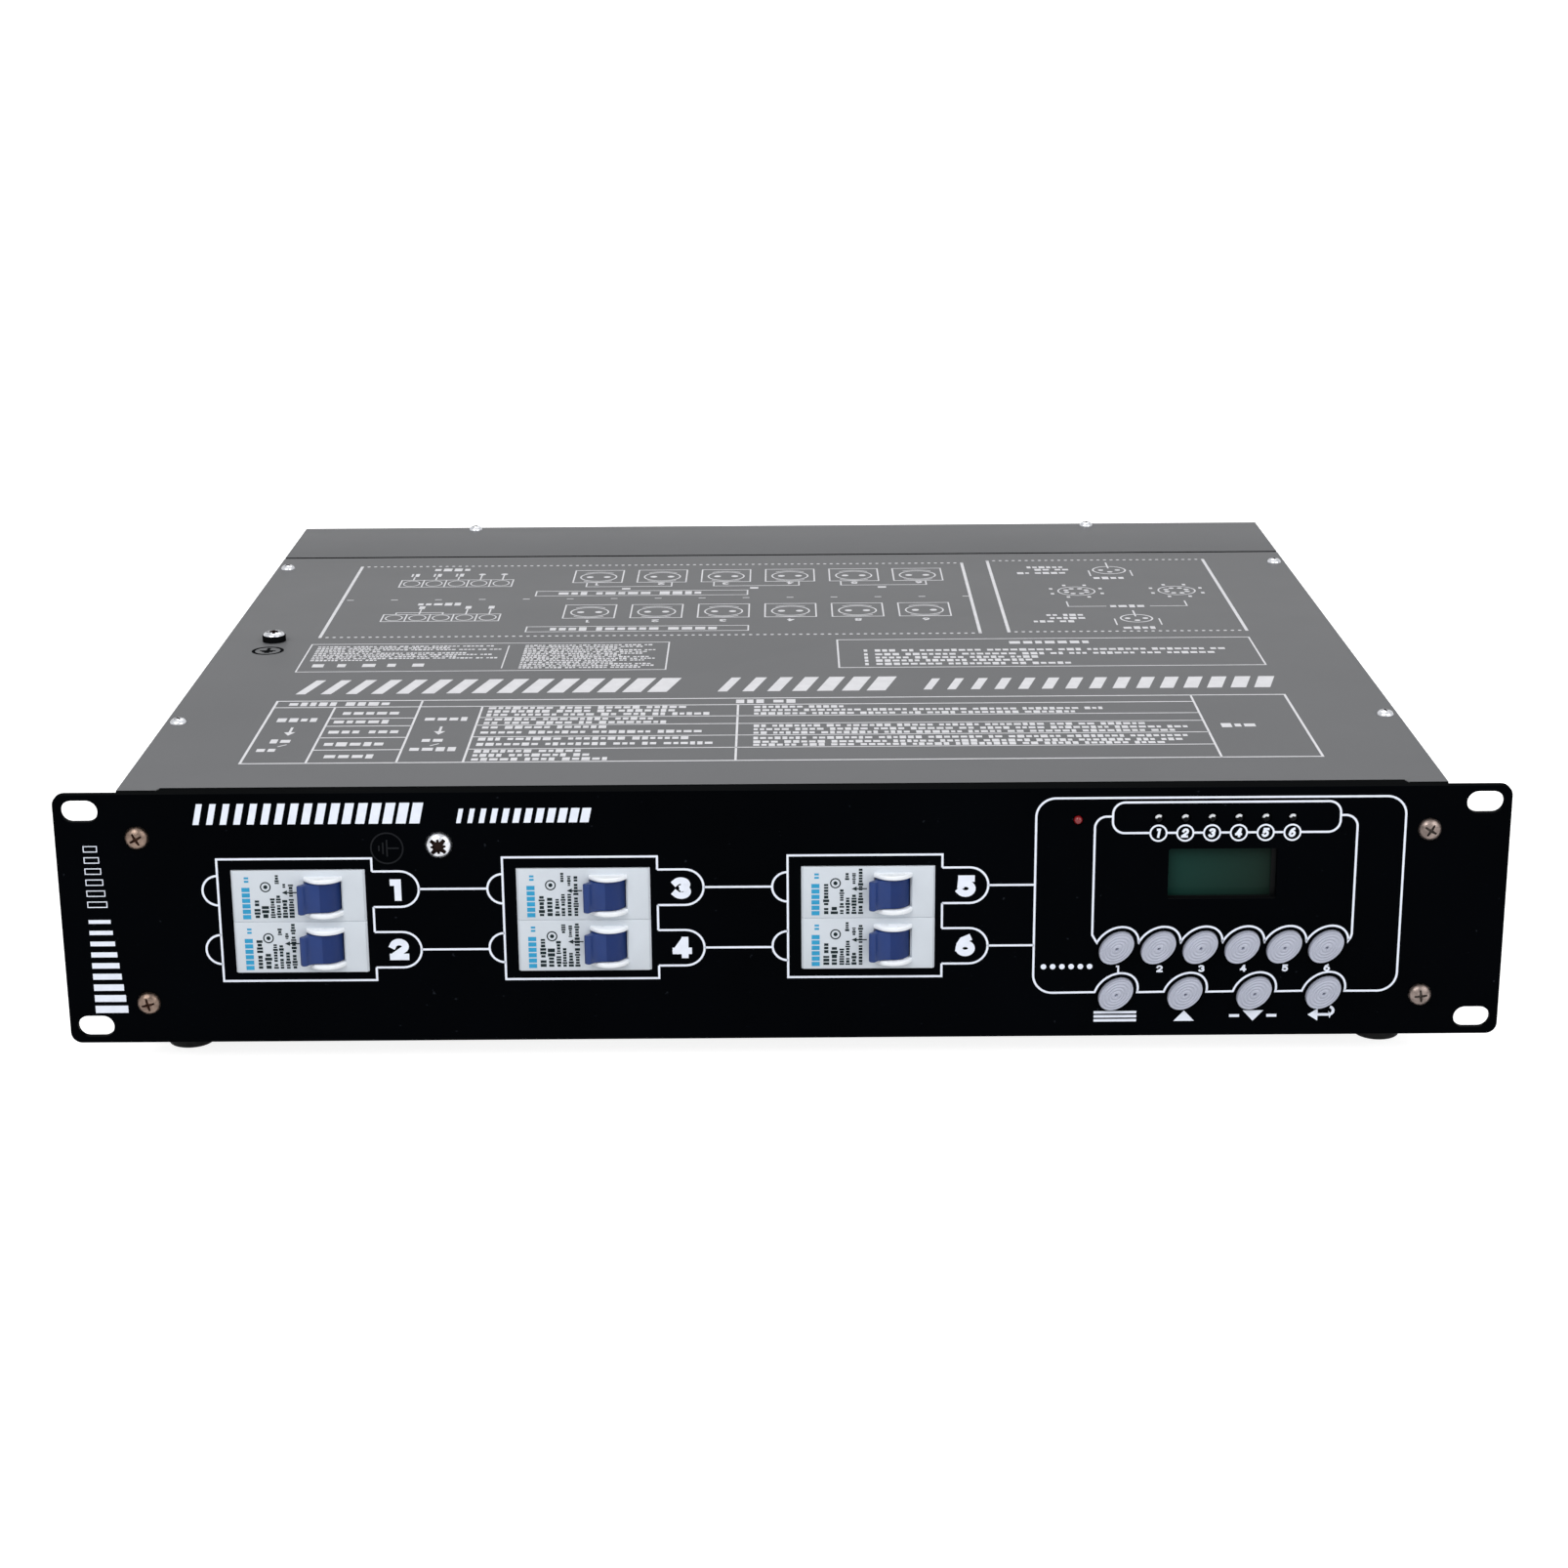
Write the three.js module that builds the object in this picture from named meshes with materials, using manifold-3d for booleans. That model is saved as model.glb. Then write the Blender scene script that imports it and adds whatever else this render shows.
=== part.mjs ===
// Six-channel dimmer pack, two rack units high, for a 19-inch rack.
// Millimetres: X runs along the front panel, Y from the front to the rear, Z up.
// Places are given from the centre of the front panel's face. The last lines move the
// origin to the middle of the base, on the plane that the feet stand on.

import * as THREE from 'three';
import { mergeVertices } from 'three/addons/utils/BufferGeometryUtils.js';
import Module from 'manifold-3d';

const wasm = await Module();
wasm.setup();

const fullTurn = Math.PI * 2;
const quarterTurn = Math.PI / 2;

// Sheet metal and fits shared by all pieces
const sheet = 1.2;
const bendRadius = 1.5;
const seatGap = 0.2;
const slideGap = 0.3;
const overrun = 1;
const weldDepth = 0.4;
const screwHoleRadius = 2.1;

// Faces round a turned or rounded shape
const facets = { wide: 20, round: 16, barrel: 12, coil: 10, small: 8, tiny: 6, pin: 4 };
const cornerSteps = { fine: 4, outlet: 3, plain: 2, least: 1 };
const bendSteps = 2;

// Dimmed channels, each with a breaker, a button, a lamp and an outlet
const channels = 6;

// Front panel and its rack slots
const panel = { width: 482.6, height: 88.1, thickness: 2.5, cornerRadius: 3.75, ear: 20.55, rim: 0.05 };
const rackSlot = { fromEnd: 8.75, fromTop: 5.95, length: 12.3, height: 7.5 };
const panelScrew = { fromSide: 6.25, fromTop: 14.5 };
const earthScrew = { fromSide: 107.25, fromTop: 18.1 };

// Case behind the panel, between its two ears
const caseSize = {
  width: panel.width - 2 * panel.ear,
  height: panel.height - 2 * panel.rim,
  depth: 410,
};
const tray = { topFlange: 14, endFlange: 14, frontLip: 6 };
const cover = { lipHeight: 6, lipInset: 15, seam: 0.9 };
const coverScrew = { fromSide: 4.75, fromFront: 83, fromRear: 20 };
const coverEarthScrew = { fromSide: 20.75, fromRear: 136 };
const wiringCover = { depth: 61.9, lipHeight: 6, screwFromSide: 79.25, screwFromRear: 4.5 };
const rearPanel = { topFlange: 14 };
const foot = { height: 8.8, topRadius: 8.25, bottomRadius: 6.8, fromSide: 15.15, fromEnd: 21.5 };
const footHole = { radius: 2.6, depth: 4.5 };

// Circuit breakers, lying on their sides in pairs behind three windows
const breakerPair = { count: 3, fromLeft: 11.9, fromRight: 144.9, apart: 14.9, z: -0.8, windowGap: 0.3 };
const pairPitch = (caseSize.width - breakerPair.fromLeft - breakerPair.fromRight) / breakerPair.count;
const breaker = {
  width: 17.9, length: pairPitch - breakerPair.apart, depth: 64.5, noseLength: 44.6, noseDepth: 15.5,
  proud: 0.6, noseChamfer: 0.7, shoulderRise: 3.5, shoulderInset: 5, rearChamfer: 2,
};
const cheek = { radius: 7.1, thickness: 1.6, fromSide: 1.35 };
const toggle = {
  x: 8.3, pivotDepth: 3, drumRadius: 5.8, length: 11.3,
  width: breaker.width - 2 * (cheek.fromSide + cheek.thickness + slideGap),
  tipWidth: 5.2, rootWidth: 6, waistWidth: 4.6, tipRadius: 0.9, lean: 40 / 360,
  mouthWidth: 12.8, mouthDepth: 1.2,
};

// Top-hat rails that the breakers clip to, welded to one folded bracket
const rail = { width: 35, hatWidth: 27, height: 7.5, sheet: 1, bend: 0.6, endOverhang: 2.5 };
const railSeat = { depth: 5.5, hookReach: 1.4 };
const bracket = { sideOverhang: 3, foot: 20, topOverhang: 3 };

// Control panel: buttons, lamps and display on one board. Places are from the middle of the display.
const controls = { fromSide: 74.4 };
const controlX = caseSize.width / 2 - controls.fromSide;
const button = {
  major: 6.5, minor: 4.6, tilt: 41 / 360, proud: 2.4, holeGap: 0.25, edgeDrop: 0.9,
  crown: 0.35, flangeReach: 0.8, flangeThickness: 1.2, stemRadius: 2.2, travel: 0.8,
};
const channelButtons = { firstX: -34.65, pitch: 14.06, z: -12.1 };
const menuButtons = { firstX: -34.45, pitch: 23.3, z: -28.6 };
const lamp = { radius: 1.5, proud: 1, holeGap: 0.2, collarRadius: 2.1 };
const channelLamps = { firstX: -21.75, pitch: 8.88, z: 33.3 };
const powerLamp = { x: -48.45, z: 32.8 };
const displayWindow = { z: 13.9, width: 36.1, height: 17.2, cornerRadius: 0.6 };
const display = { border: 4.5, glassDepth: 5.5, frontGap: 0.7, glassMargin: 0.9 };
const board = { left: -60.35, right: 59.65, fromTop: 5, thickness: 1.6, frontY: 14 };
const boardPost = { radius: 2.5, fromSide: 5, fromTop: 6 };
const tactSwitch = { width: 6, height: 3.5, plungerRadius: 1.7, plungerHeight: 1.5 };

// Power electronics on the floor of the tray
const powerBoard = { fromLeft: 30.75, fromRight: 160.75, front: 100, depth: 94, thickness: 1.6, height: 8 };
const boardLeg = { radius: 3, inset: 7 };
const choke = { ringRadius: 11, tubeRadius: 5.5, fromFront: 52 };
const capacitor = { width: 18, depth: 8, height: 12, fromFront: 18 };
const triac = { width: 10.4, thickness: 4.6, height: 16 };
const heatSink = {
  fromLeft: 30.75, fromRight: 100.75, depth: 50, base: 5, height: 46, fins: 9, finWidth: 2,
};
const transformer = { fromSide: 70.75, y: 88, coreWidth: 41, coreDepth: 18, height: 34 };
const winding = { width: 26, depth: 32, height: 22, cornerRadius: 4.4 };
const transformerFoot = { width: 58, thickness: 1.5 };

// Fan on the right-hand side wall, with its grille cut in the wall
const fan = {
  size: 50, thickness: 15, rim: 1.5, cornerRadius: 4, carrierRadius: 12, carrierThickness: 2.5,
  strutWidth: 2.6, shaftRadius: 1.5, hubRadius: 11.5, hubRecess: 1.7, blades: 7, tipGap: 0.8,
  bladeThickness: 1.2, bladeInset: 0.25, bladeSweep: 8, bladeCamber: 1.6,
};
const fanBore = fan.size / 2 - fan.rim;
const vent = { slotWidth: 3, pitch: 6.5, slotHeight: 40, slots: 11 };

// Rear connectors: the outlets share the width between the gland and the signal connectors
const outletRow = { fromLeft: 51.25, fromRight: 96.25, apart: 2 };
const outletPitch = (caseSize.width - outletRow.fromLeft - outletRow.fromRight) / channels;
const outlet = {
  flange: outletPitch - outletRow.apart, flangeThickness: 2.6, cornerRadius: 4, flangeRim: 2.2,
  bodyDepth: 30, wall: 1.8, recessDepth: 17.5, pinSpacing: 19, pinRadius: 2.5, pinDepth: 9,
};
const outletBody = outlet.flange / 2 - outlet.flangeRim;
const outletRecess = outletBody - outlet.wall;
const outletRib = { width: 4.5, reach: 2.2 };
const outletClip = { width: 4, reach: 2.6, fromFace: 2.5 };
const signal = { fromSide: 30.75, pitch: 42, topZ: 19, bottomZ: -22 };
const signalPlug = {
  width: 26, height: 31, thickness: 2.4, cornerRadius: 3, barrelRadius: 11.6,
  barrelDepth: 18, mouthRadius: 9.5, mouthDepth: 15,
  pins: 3, pinCircle: 4.2, pinRadius: 1.2, pinLength: 10,
};
const signalCore = { radius: 7.4, grooveDepth: 13, holeRadius: 1.3, holeDepth: 10 };
const latch = {
  width: 6, height: 2.6, depth: 7, travel: 1.4, z: 9, cornerRadius: 0.65,
  headWidth: 8, headHeight: 6.4, headThickness: 1.6, headCornerRadius: 1.6,
};
const analogSocket = {
  width: 28, height: 20, thickness: 1.8, cornerRadius: 3, barrelRadius: 7.8, barrelDepth: 12,
  coreRadius: 6, grooveRadius: 6.9, grooveDepth: 8,
  ringPins: 7, pinCircle: 3.9, pinRadius: 0.8, pinDepth: 6,
};
const gland = {
  fromSide: 31.75, z: -10, hexRadius: 15, hexLength: 8, domeRadius: 13.2, domeLength: 14,
  mouthRadius: 10, boreRadius: 7.5, threadRadius: 9.8, threadLength: 9, nutThickness: 5,
};
const terminal = {
  poles: 5, pitch: 10, depth: 22, height: 20, fromRear: 41, shoulder: 6, shoulderDrop: 7,
  wireRadius: 2.6, screwRadius: 2.4, pocketDepth: 8,
};

// Planes that several pieces share
const caseFront = panel.thickness + seatGap;
const caseRear = panel.thickness + caseSize.depth;
const sideX = caseSize.width / 2;
const caseTop = caseSize.height / 2;
const caseBottom = -caseTop;
const trayTop = caseTop - sheet - seatGap;
const trayRear = caseRear - sheet - seatGap;
const floorTop = caseBottom + sheet;
const innerSide = sideX - sheet;
const bendReach = bendRadius + sheet;
const standingZ = floorTop + seatGap;
const coverRear = caseRear - wiringCover.depth - cover.seam;
const heatSinkFront = powerBoard.front + powerBoard.depth + triac.thickness;
const heatSinkMiddle = heatSinkFront + heatSink.depth / 2;
const breakerOffset = (breaker.width + seatGap) / 2;
const pivotY = toggle.pivotDepth - breaker.proud;
const boardHalf = caseTop - board.fromTop;
const glandX = gland.fromSide - sideX;
const signalRight = sideX - signal.fromSide;
const signalLeft = signalRight - signal.pitch;
const coverScrewX = sideX - wiringCover.screwFromSide;
const coverScrewPlaces = [caseFront + coverScrew.fromFront, coverRear - coverScrew.fromRear];

// Points evenly round an ellipse
function roundPoints(radiusX, radiusY, count, x = 0, y = 0, turn = 0) {
  const points = [];
  for (let index = 0; index < count; index += 1) {
    const angle = fullTurn * (index / count);
    const point = new THREE.Vector2(radiusX * Math.cos(angle), radiusY * Math.sin(angle));
    point.rotateAround(new THREE.Vector2(), fullTurn * turn);
    points.push(point.add(new THREE.Vector2(x, y)));
  }
  return points;
}

// Points round a rectangle with rounded corners
function roundedRect(width, height, radius, steps, x = 0, y = 0) {
  const points = [];
  const corners = [[1, 1], [-1, 1], [-1, -1], [1, -1]];
  corners.forEach(([signX, signY], corner) => {
    for (let step = 0; step <= steps; step += 1) {
      const angle = quarterTurn * (corner + step / steps);
      points.push(new THREE.Vector2(
        x + signX * (width / 2 - radius) + radius * Math.cos(angle),
        y + signY * (height / 2 - radius) + radius * Math.sin(angle),
      ));
    }
  });
  return points.filter((point, index) => index === 0 || point.distanceTo(points[index - 1]) > radius / 100);
}

// The outline of one sheet folded at each inner corner of a line. The corners lie in the
// middle of the sheet, and each fold is a round bend.
function foldedOutline(corners, thickness, insideRadius) {
  const line = corners.map(([across, up]) => new THREE.Vector2(across, up));
  const radius = insideRadius + thickness / 2;
  const left = [];
  const right = [];
  const addPair = (point, normal) => {
    left.push(point.clone().addScaledVector(normal, thickness / 2));
    right.push(point.clone().addScaledVector(normal, -thickness / 2));
  };
  const direction = (index) => line[index + 1].clone().sub(line[index]).normalize();
  const leftOf = (vector) => new THREE.Vector2(-vector.y, vector.x);
  addPair(line[0], leftOf(direction(0)));
  for (let index = 1; index < line.length - 1; index += 1) {
    const before = direction(index - 1);
    const turn = Math.atan2(before.cross(direction(index)), before.dot(direction(index)));
    const side = Math.sign(turn);
    const start = line[index].clone().addScaledVector(before, -radius * Math.tan(Math.abs(turn) / 2));
    const centre = start.clone().addScaledVector(leftOf(before), side * radius);
    for (let step = 0; step <= bendSteps; step += 1) {
      const normal = leftOf(before).rotateAround(new THREE.Vector2(), (turn * step) / bendSteps);
      addPair(centre.clone().addScaledVector(normal, -side * radius), normal);
    }
  }
  addPair(line[line.length - 1], leftOf(direction(line.length - 2)));
  return [...left, ...right.reverse()];
}

// A closed three.js mesh as a solid that can be joined and cut
function toSolid(geometry) {
  geometry.deleteAttribute('normal');
  geometry.deleteAttribute('uv');
  const merged = mergeVertices(geometry);
  const corners = merged.index.array;
  const kept = [];
  for (let index = 0; index < corners.length; index += 3) {
    const [a, b, c] = corners.slice(index, index + 3);
    if (a !== b && b !== c && c !== a) kept.push(a, b, c);
  }
  return new wasm.Manifold(new wasm.Mesh({
    numProp: 3,
    vertProperties: merged.attributes.position.array,
    triVerts: new Uint32Array(kept),
  }));
}

function toGeometry(solid) {
  const mesh = solid.getMesh();
  const geometry = new THREE.BufferGeometry();
  geometry.setAttribute('position', new THREE.BufferAttribute(mesh.vertProperties, 3));
  geometry.setIndex(new THREE.BufferAttribute(mesh.triVerts, 1));
  return geometry;
}

// Places a geometry modelled along Z so that it runs along another axis
function layAlong(geometry, axis) {
  if (axis === 'y') return geometry.rotateX(quarterTurn);
  if (axis === 'x') {
    const basis = new THREE.Matrix4();
    basis.makeBasis(new THREE.Vector3(0, 1, 0), new THREE.Vector3(0, 0, 1), new THREE.Vector3(1, 0, 0));
    return geometry.applyMatrix4(basis);
  }
  return geometry;
}

// An outline extruded between two planes: (x, z) along y, (y, z) along x, (x, y) along z
function prismGeometry(axis, points, from, to, holes = []) {
  const shape = new THREE.Shape(points);
  shape.holes = holes.map((hole) => new THREE.Path(hole));
  const geometry = new THREE.ExtrudeGeometry(shape, { depth: to - from, bevelEnabled: false });
  layAlong(geometry, axis);
  const start = { x: [from, 0, 0], y: [0, to, 0], z: [0, 0, from] }[axis];
  return geometry.translate(...start);
}

function prism(axis, points, from, to, holes = []) {
  return toSolid(prismGeometry(axis, points, from, to, holes));
}

function block([left, right], [front, rear], [bottom, top]) {
  const geometry = new THREE.BoxGeometry(right - left, rear - front, top - bottom);
  geometry.translate((left + right) / 2, (front + rear) / 2, (bottom + top) / 2);
  return toSolid(geometry);
}

// A profile of [radius, place along the axis] turned round the Y axis, the Z axis or the X axis
function turnedGeometry(axis, profile, segments) {
  const points = profile.map(([radius, along]) => new THREE.Vector2(radius, along));
  const geometry = new THREE.LatheGeometry(points, segments);
  if (axis === 'z') geometry.rotateX(quarterTurn);
  if (axis === 'x') geometry.rotateZ(-quarterTurn);
  return geometry;
}

function turned(axis, profile, segments, place = [0, 0, 0]) {
  return toSolid(turnedGeometry(axis, profile, segments).translate(...place));
}

function rod(axis, radius, from, to, segments, place = [0, 0, 0]) {
  return turned(axis, [[0, from], [radius, from], [radius, to], [0, to]], segments, place);
}

const joined = (first, ...others) => others.reduce((solid, other) => solid.add(other), first);
const without = (first, ...others) => others.reduce((solid, other) => solid.subtract(other), first);
const bothSides = [-1, 1];
const fourCorners = [[-1, -1], [1, -1], [1, 1], [-1, 1]];
const countUp = (count) => Array.from({ length: count }, (_, index) => index);

const unit = new THREE.Group();
const finishes = {
  blackPanel: { color: 0x0c0c0e, roughness: 0.4, metalness: 0.2 },
  greyPaint: { color: 0x545557, roughness: 0.45, metalness: 0.3 },
  zincSteel: { color: 0xa9adb0, roughness: 0.35, metalness: 0.9 },
  aluminium: { color: 0xb8babd, roughness: 0.4, metalness: 0.9 },
  whitePlastic: { color: 0xe6e7e6, roughness: 0.35, metalness: 0 },
  bluePlastic: { color: 0x24346b, roughness: 0.3, metalness: 0 },
  greyPlastic: { color: 0xb9b9c2, roughness: 0.5, metalness: 0 },
  blackPlastic: { color: 0x141415, roughness: 0.45, metalness: 0 },
  rubber: { color: 0x161616, roughness: 0.85, metalness: 0 },
  circuitBoard: { color: 0x1e5a33, roughness: 0.5, metalness: 0 },
  displayGlass: { color: 0x2c4d41, roughness: 0.2, metalness: 0 },
  clearLens: { color: 0xd4d6d8, roughness: 0.15, metalness: 0 },
  redLens: { color: 0x8c1a18, roughness: 0.2, metalness: 0 },
  nickel: { color: 0xc4c2bd, roughness: 0.25, metalness: 1 },
  lamination: { color: 0x4a4a4c, roughness: 0.6, metalness: 0.6 },
};

function addPiece(name, geometry, finish, place = [0, 0, 0]) {
  const mesh = new THREE.Mesh(geometry, new THREE.MeshStandardMaterial(finishes[finish]));
  mesh.name = name;
  mesh.position.set(...place);
  unit.add(mesh);
  return mesh;
}

// Front panel

const buttonPlaces = [
  ...countUp(channels).map((index) => ({
    name: `channel_button_${index + 1}`,
    x: controlX + channelButtons.firstX + index * channelButtons.pitch,
    z: channelButtons.z,
  })),
  ...['menu', 'up', 'down', 'escape'].map((name, index) => ({
    name: `${name}_button`,
    x: controlX + menuButtons.firstX + index * menuButtons.pitch,
    z: menuButtons.z,
  })),
];
const lampPlaces = [
  { name: 'power_led', x: controlX + powerLamp.x, z: powerLamp.z, finish: 'redLens' },
  ...countUp(channels).map((index) => ({
    name: `channel_led_${index + 1}`,
    x: controlX + channelLamps.firstX + index * channelLamps.pitch,
    z: channelLamps.z,
    finish: 'clearLens',
  })),
];
const pairPlaces = countUp(breakerPair.count).map(
  (index) => breakerPair.fromLeft - sideX + (index + 1 / 2) * pairPitch,
);

function makeFrontPanel() {
  const holes = [];
  for (const [signX, signZ] of fourCorners) {
    holes.push(roundedRect(rackSlot.length, rackSlot.height, rackSlot.height / 2, cornerSteps.fine,
      signX * (panel.width / 2 - rackSlot.fromEnd), signZ * (panel.height / 2 - rackSlot.fromTop)));
    holes.push(roundPoints(screwHoleRadius, screwHoleRadius, facets.small,
      signX * (sideX - panelScrew.fromSide), signZ * (caseTop - panelScrew.fromTop)));
  }
  holes.push(roundPoints(screwHoleRadius, screwHoleRadius, facets.small,
    earthScrew.fromSide - sideX, caseTop - earthScrew.fromTop));
  const windowWidth = breaker.noseLength + 2 * breakerPair.windowGap;
  const windowHeight = 2 * breaker.width + seatGap + 2 * breakerPair.windowGap;
  for (const x of pairPlaces) {
    holes.push(roundedRect(windowWidth, windowHeight, breakerPair.windowGap, cornerSteps.least,
      x, breakerPair.z));
  }
  holes.push(roundedRect(displayWindow.width, displayWindow.height, displayWindow.cornerRadius,
    cornerSteps.least, controlX, displayWindow.z));
  for (const { x, z } of buttonPlaces) {
    holes.push(roundPoints(button.major + button.holeGap, button.minor + button.holeGap, facets.barrel,
      x, z, button.tilt));
  }
  for (const { x, z } of lampPlaces) {
    holes.push(roundPoints(lamp.radius + lamp.holeGap, lamp.radius + lamp.holeGap, facets.small, x, z));
  }
  const outline = roundedRect(panel.width, panel.height, panel.cornerRadius, cornerSteps.fine);
  return prismGeometry('y', outline, 0, panel.thickness, holes);
}

addPiece('front_panel', makeFrontPanel(), 'blackPanel');

// Tray: floor, side walls and turned-in flanges, folded from one sheet

function makeTray() {
  const side = sideX - sheet / 2;
  const flangeEnd = sideX - tray.topFlange;
  const foldTop = trayTop - sheet / 2;
  const foldFloor = caseBottom + sheet / 2;
  const section = foldedOutline([
    [-flangeEnd, foldTop], [-side, foldTop], [-side, foldFloor],
    [side, foldFloor], [side, foldTop], [flangeEnd, foldTop],
  ], sheet, bendRadius);
  const added = [];
  const cutAway = [];
  const flangeZ = [caseBottom + bendReach, trayTop - bendReach];
  for (const sign of bothSides) {
    const flangeX = [sign * side, sign * (sideX - tray.endFlange)].sort((a, b) => a - b);
    added.push(block(flangeX, [caseFront, caseFront + sheet], flangeZ));
    added.push(block(flangeX, [trayRear - sheet, trayRear], flangeZ));
    for (const up of bothSides) {
      cutAway.push(rod('y', screwHoleRadius, caseFront - overrun, caseFront + sheet + overrun, facets.tiny,
        [sign * (sideX - panelScrew.fromSide), 0, up * (caseTop - panelScrew.fromTop)]));
    }
    for (const y of coverScrewPlaces) {
      cutAway.push(rod('z', screwHoleRadius, trayTop - sheet - overrun, trayTop + overrun, facets.tiny,
        [sign * (sideX - coverScrew.fromSide), y, 0]));
    }
  }
  const lipHalf = sideX - tray.endFlange - sheet;
  const lipZ = [foldFloor, floorTop + tray.frontLip];
  added.push(block([-lipHalf, lipHalf], [caseFront, caseFront + sheet], lipZ));
  for (const index of countUp(vent.slots)) {
    const y = heatSinkMiddle + (index - (vent.slots - 1) / 2) * vent.pitch;
    const slot = roundedRect(vent.slotWidth, vent.slotHeight, vent.slotWidth / 2, cornerSteps.least, y, 0);
    cutAway.push(prism('x', slot, -sideX - overrun, -innerSide + overrun));
  }
  const grilleSlots = 2 * Math.floor(fanBore / vent.pitch) + 1;
  for (const index of countUp(grilleSlots)) {
    const across = (index - (grilleSlots - 1) / 2) * vent.pitch;
    const height = 2 * Math.sqrt(fanBore ** 2 - across ** 2);
    const slot = roundedRect(vent.slotWidth, height, vent.slotWidth / 2, cornerSteps.least,
      heatSinkMiddle + across, 0);
    cutAway.push(prism('x', slot, innerSide - overrun, sideX + overrun));
  }
  return toGeometry(without(joined(prism('y', section, caseFront, trayRear), ...added), ...cutAway));
}

addPiece('chassis_tray', makeTray(), 'greyPaint');

// Top cover, with a lip folded down behind the front panel

function makeTopCover() {
  const middleZ = caseTop - sheet / 2;
  const frontY = caseFront + sheet / 2;
  const section = foldedOutline([
    [coverRear, middleZ], [frontY, middleZ], [frontY, caseTop - cover.lipHeight],
  ], sheet, bendRadius);
  const cutAway = [];
  for (const sign of bothSides) {
    const endX = [sign * (sideX - cover.lipInset), sign * (sideX + overrun)].sort((a, b) => a - b);
    cutAway.push(block(endX, [caseFront - overrun, caseFront + bendReach],
      [caseTop - cover.lipHeight - overrun, caseTop - sheet]));
    for (const y of coverScrewPlaces) {
      cutAway.push(rod('z', screwHoleRadius, caseTop - sheet - overrun, caseTop + overrun, facets.tiny,
        [sign * (sideX - coverScrew.fromSide), y, 0]));
    }
  }
  cutAway.push(rod('z', screwHoleRadius, caseTop - sheet - overrun, caseTop + overrun, facets.tiny,
    [coverEarthScrew.fromSide - sideX, coverRear - coverEarthScrew.fromRear, 0]));
  return toGeometry(without(prism('x', section, -sideX, sideX), ...cutAway));
}

addPiece('top_cover', makeTopCover(), 'greyPaint');

// Wiring cover behind the top cover, over the terminals

function makeWiringCover() {
  const front = coverRear + cover.seam;
  const lipHalf = sideX - cover.lipInset;
  const lipZ = [caseTop - wiringCover.lipHeight, caseTop - sheet / 2];
  const plate = block([-sideX, sideX], [front, caseRear], [caseTop - sheet, caseTop]);
  const lip = block([-lipHalf, lipHalf], [front, front + sheet], lipZ);
  const holes = bothSides.map((sign) => rod('z', screwHoleRadius, caseTop - sheet - overrun,
    caseTop + overrun, facets.tiny, [sign * coverScrewX, caseRear - wiringCover.screwFromRear, 0]));
  return toGeometry(without(joined(plate, lip), ...holes));
}

addPiece('wiring_cover', makeWiringCover(), 'greyPaint');

// Rear panel, with square cut-outs for the outlets, round holes for the other connectors
// and a flange under the wiring cover

const outletPlaces = countUp(channels).map(
  (index) => outletRow.fromLeft - sideX + (index + 1 / 2) * outletPitch,
);

function makeRearPanel() {
  const middleY = caseRear - sheet / 2;
  const middleTop = trayTop - sheet / 2;
  const section = foldedOutline([
    [caseRear - rearPanel.topFlange, middleTop], [middleY, middleTop], [middleY, caseBottom],
  ], sheet, bendRadius);
  const cutAway = [];
  const flangeHalf = sideX - tray.topFlange - overrun;
  for (const sign of bothSides) {
    const endX = [sign * flangeHalf, sign * (sideX + overrun)].sort((a, b) => a - b);
    cutAway.push(block(endX, [caseRear - rearPanel.topFlange - overrun, caseRear - sheet],
      [trayTop - sheet - bendReach, trayTop + overrun]));
    cutAway.push(rod('z', screwHoleRadius, trayTop - sheet - overrun, trayTop + overrun, facets.tiny,
      [sign * coverScrewX, caseRear - wiringCover.screwFromRear, 0]));
  }
  const hole = (radius, x, z, segments) => rod('y', radius + seatGap, caseRear - sheet - overrun,
    caseRear + overrun, segments, [x, 0, z]);
  const cutOut = 2 * (outletBody + seatGap);
  for (const x of outletPlaces) {
    cutAway.push(prism('y', roundedRect(cutOut, cutOut, outlet.cornerRadius / 2, cornerSteps.least, x, 0),
      caseRear - sheet - overrun, caseRear + overrun));
  }
  for (const x of [signalLeft, signalRight]) {
    cutAway.push(hole(signalPlug.barrelRadius, x, signal.topZ, facets.barrel));
    cutAway.push(hole(analogSocket.barrelRadius, x, signal.bottomZ, facets.barrel));
  }
  cutAway.push(hole(gland.threadRadius, glandX, gland.z, facets.barrel));
  return toGeometry(without(prism('x', section, -sideX, sideX), ...cutAway));
}

addPiece('rear_panel', makeRearPanel(), 'greyPaint');

// Circuit breakers: a stepped moulding with a rail seat, and two cheeks beside the toggle

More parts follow.
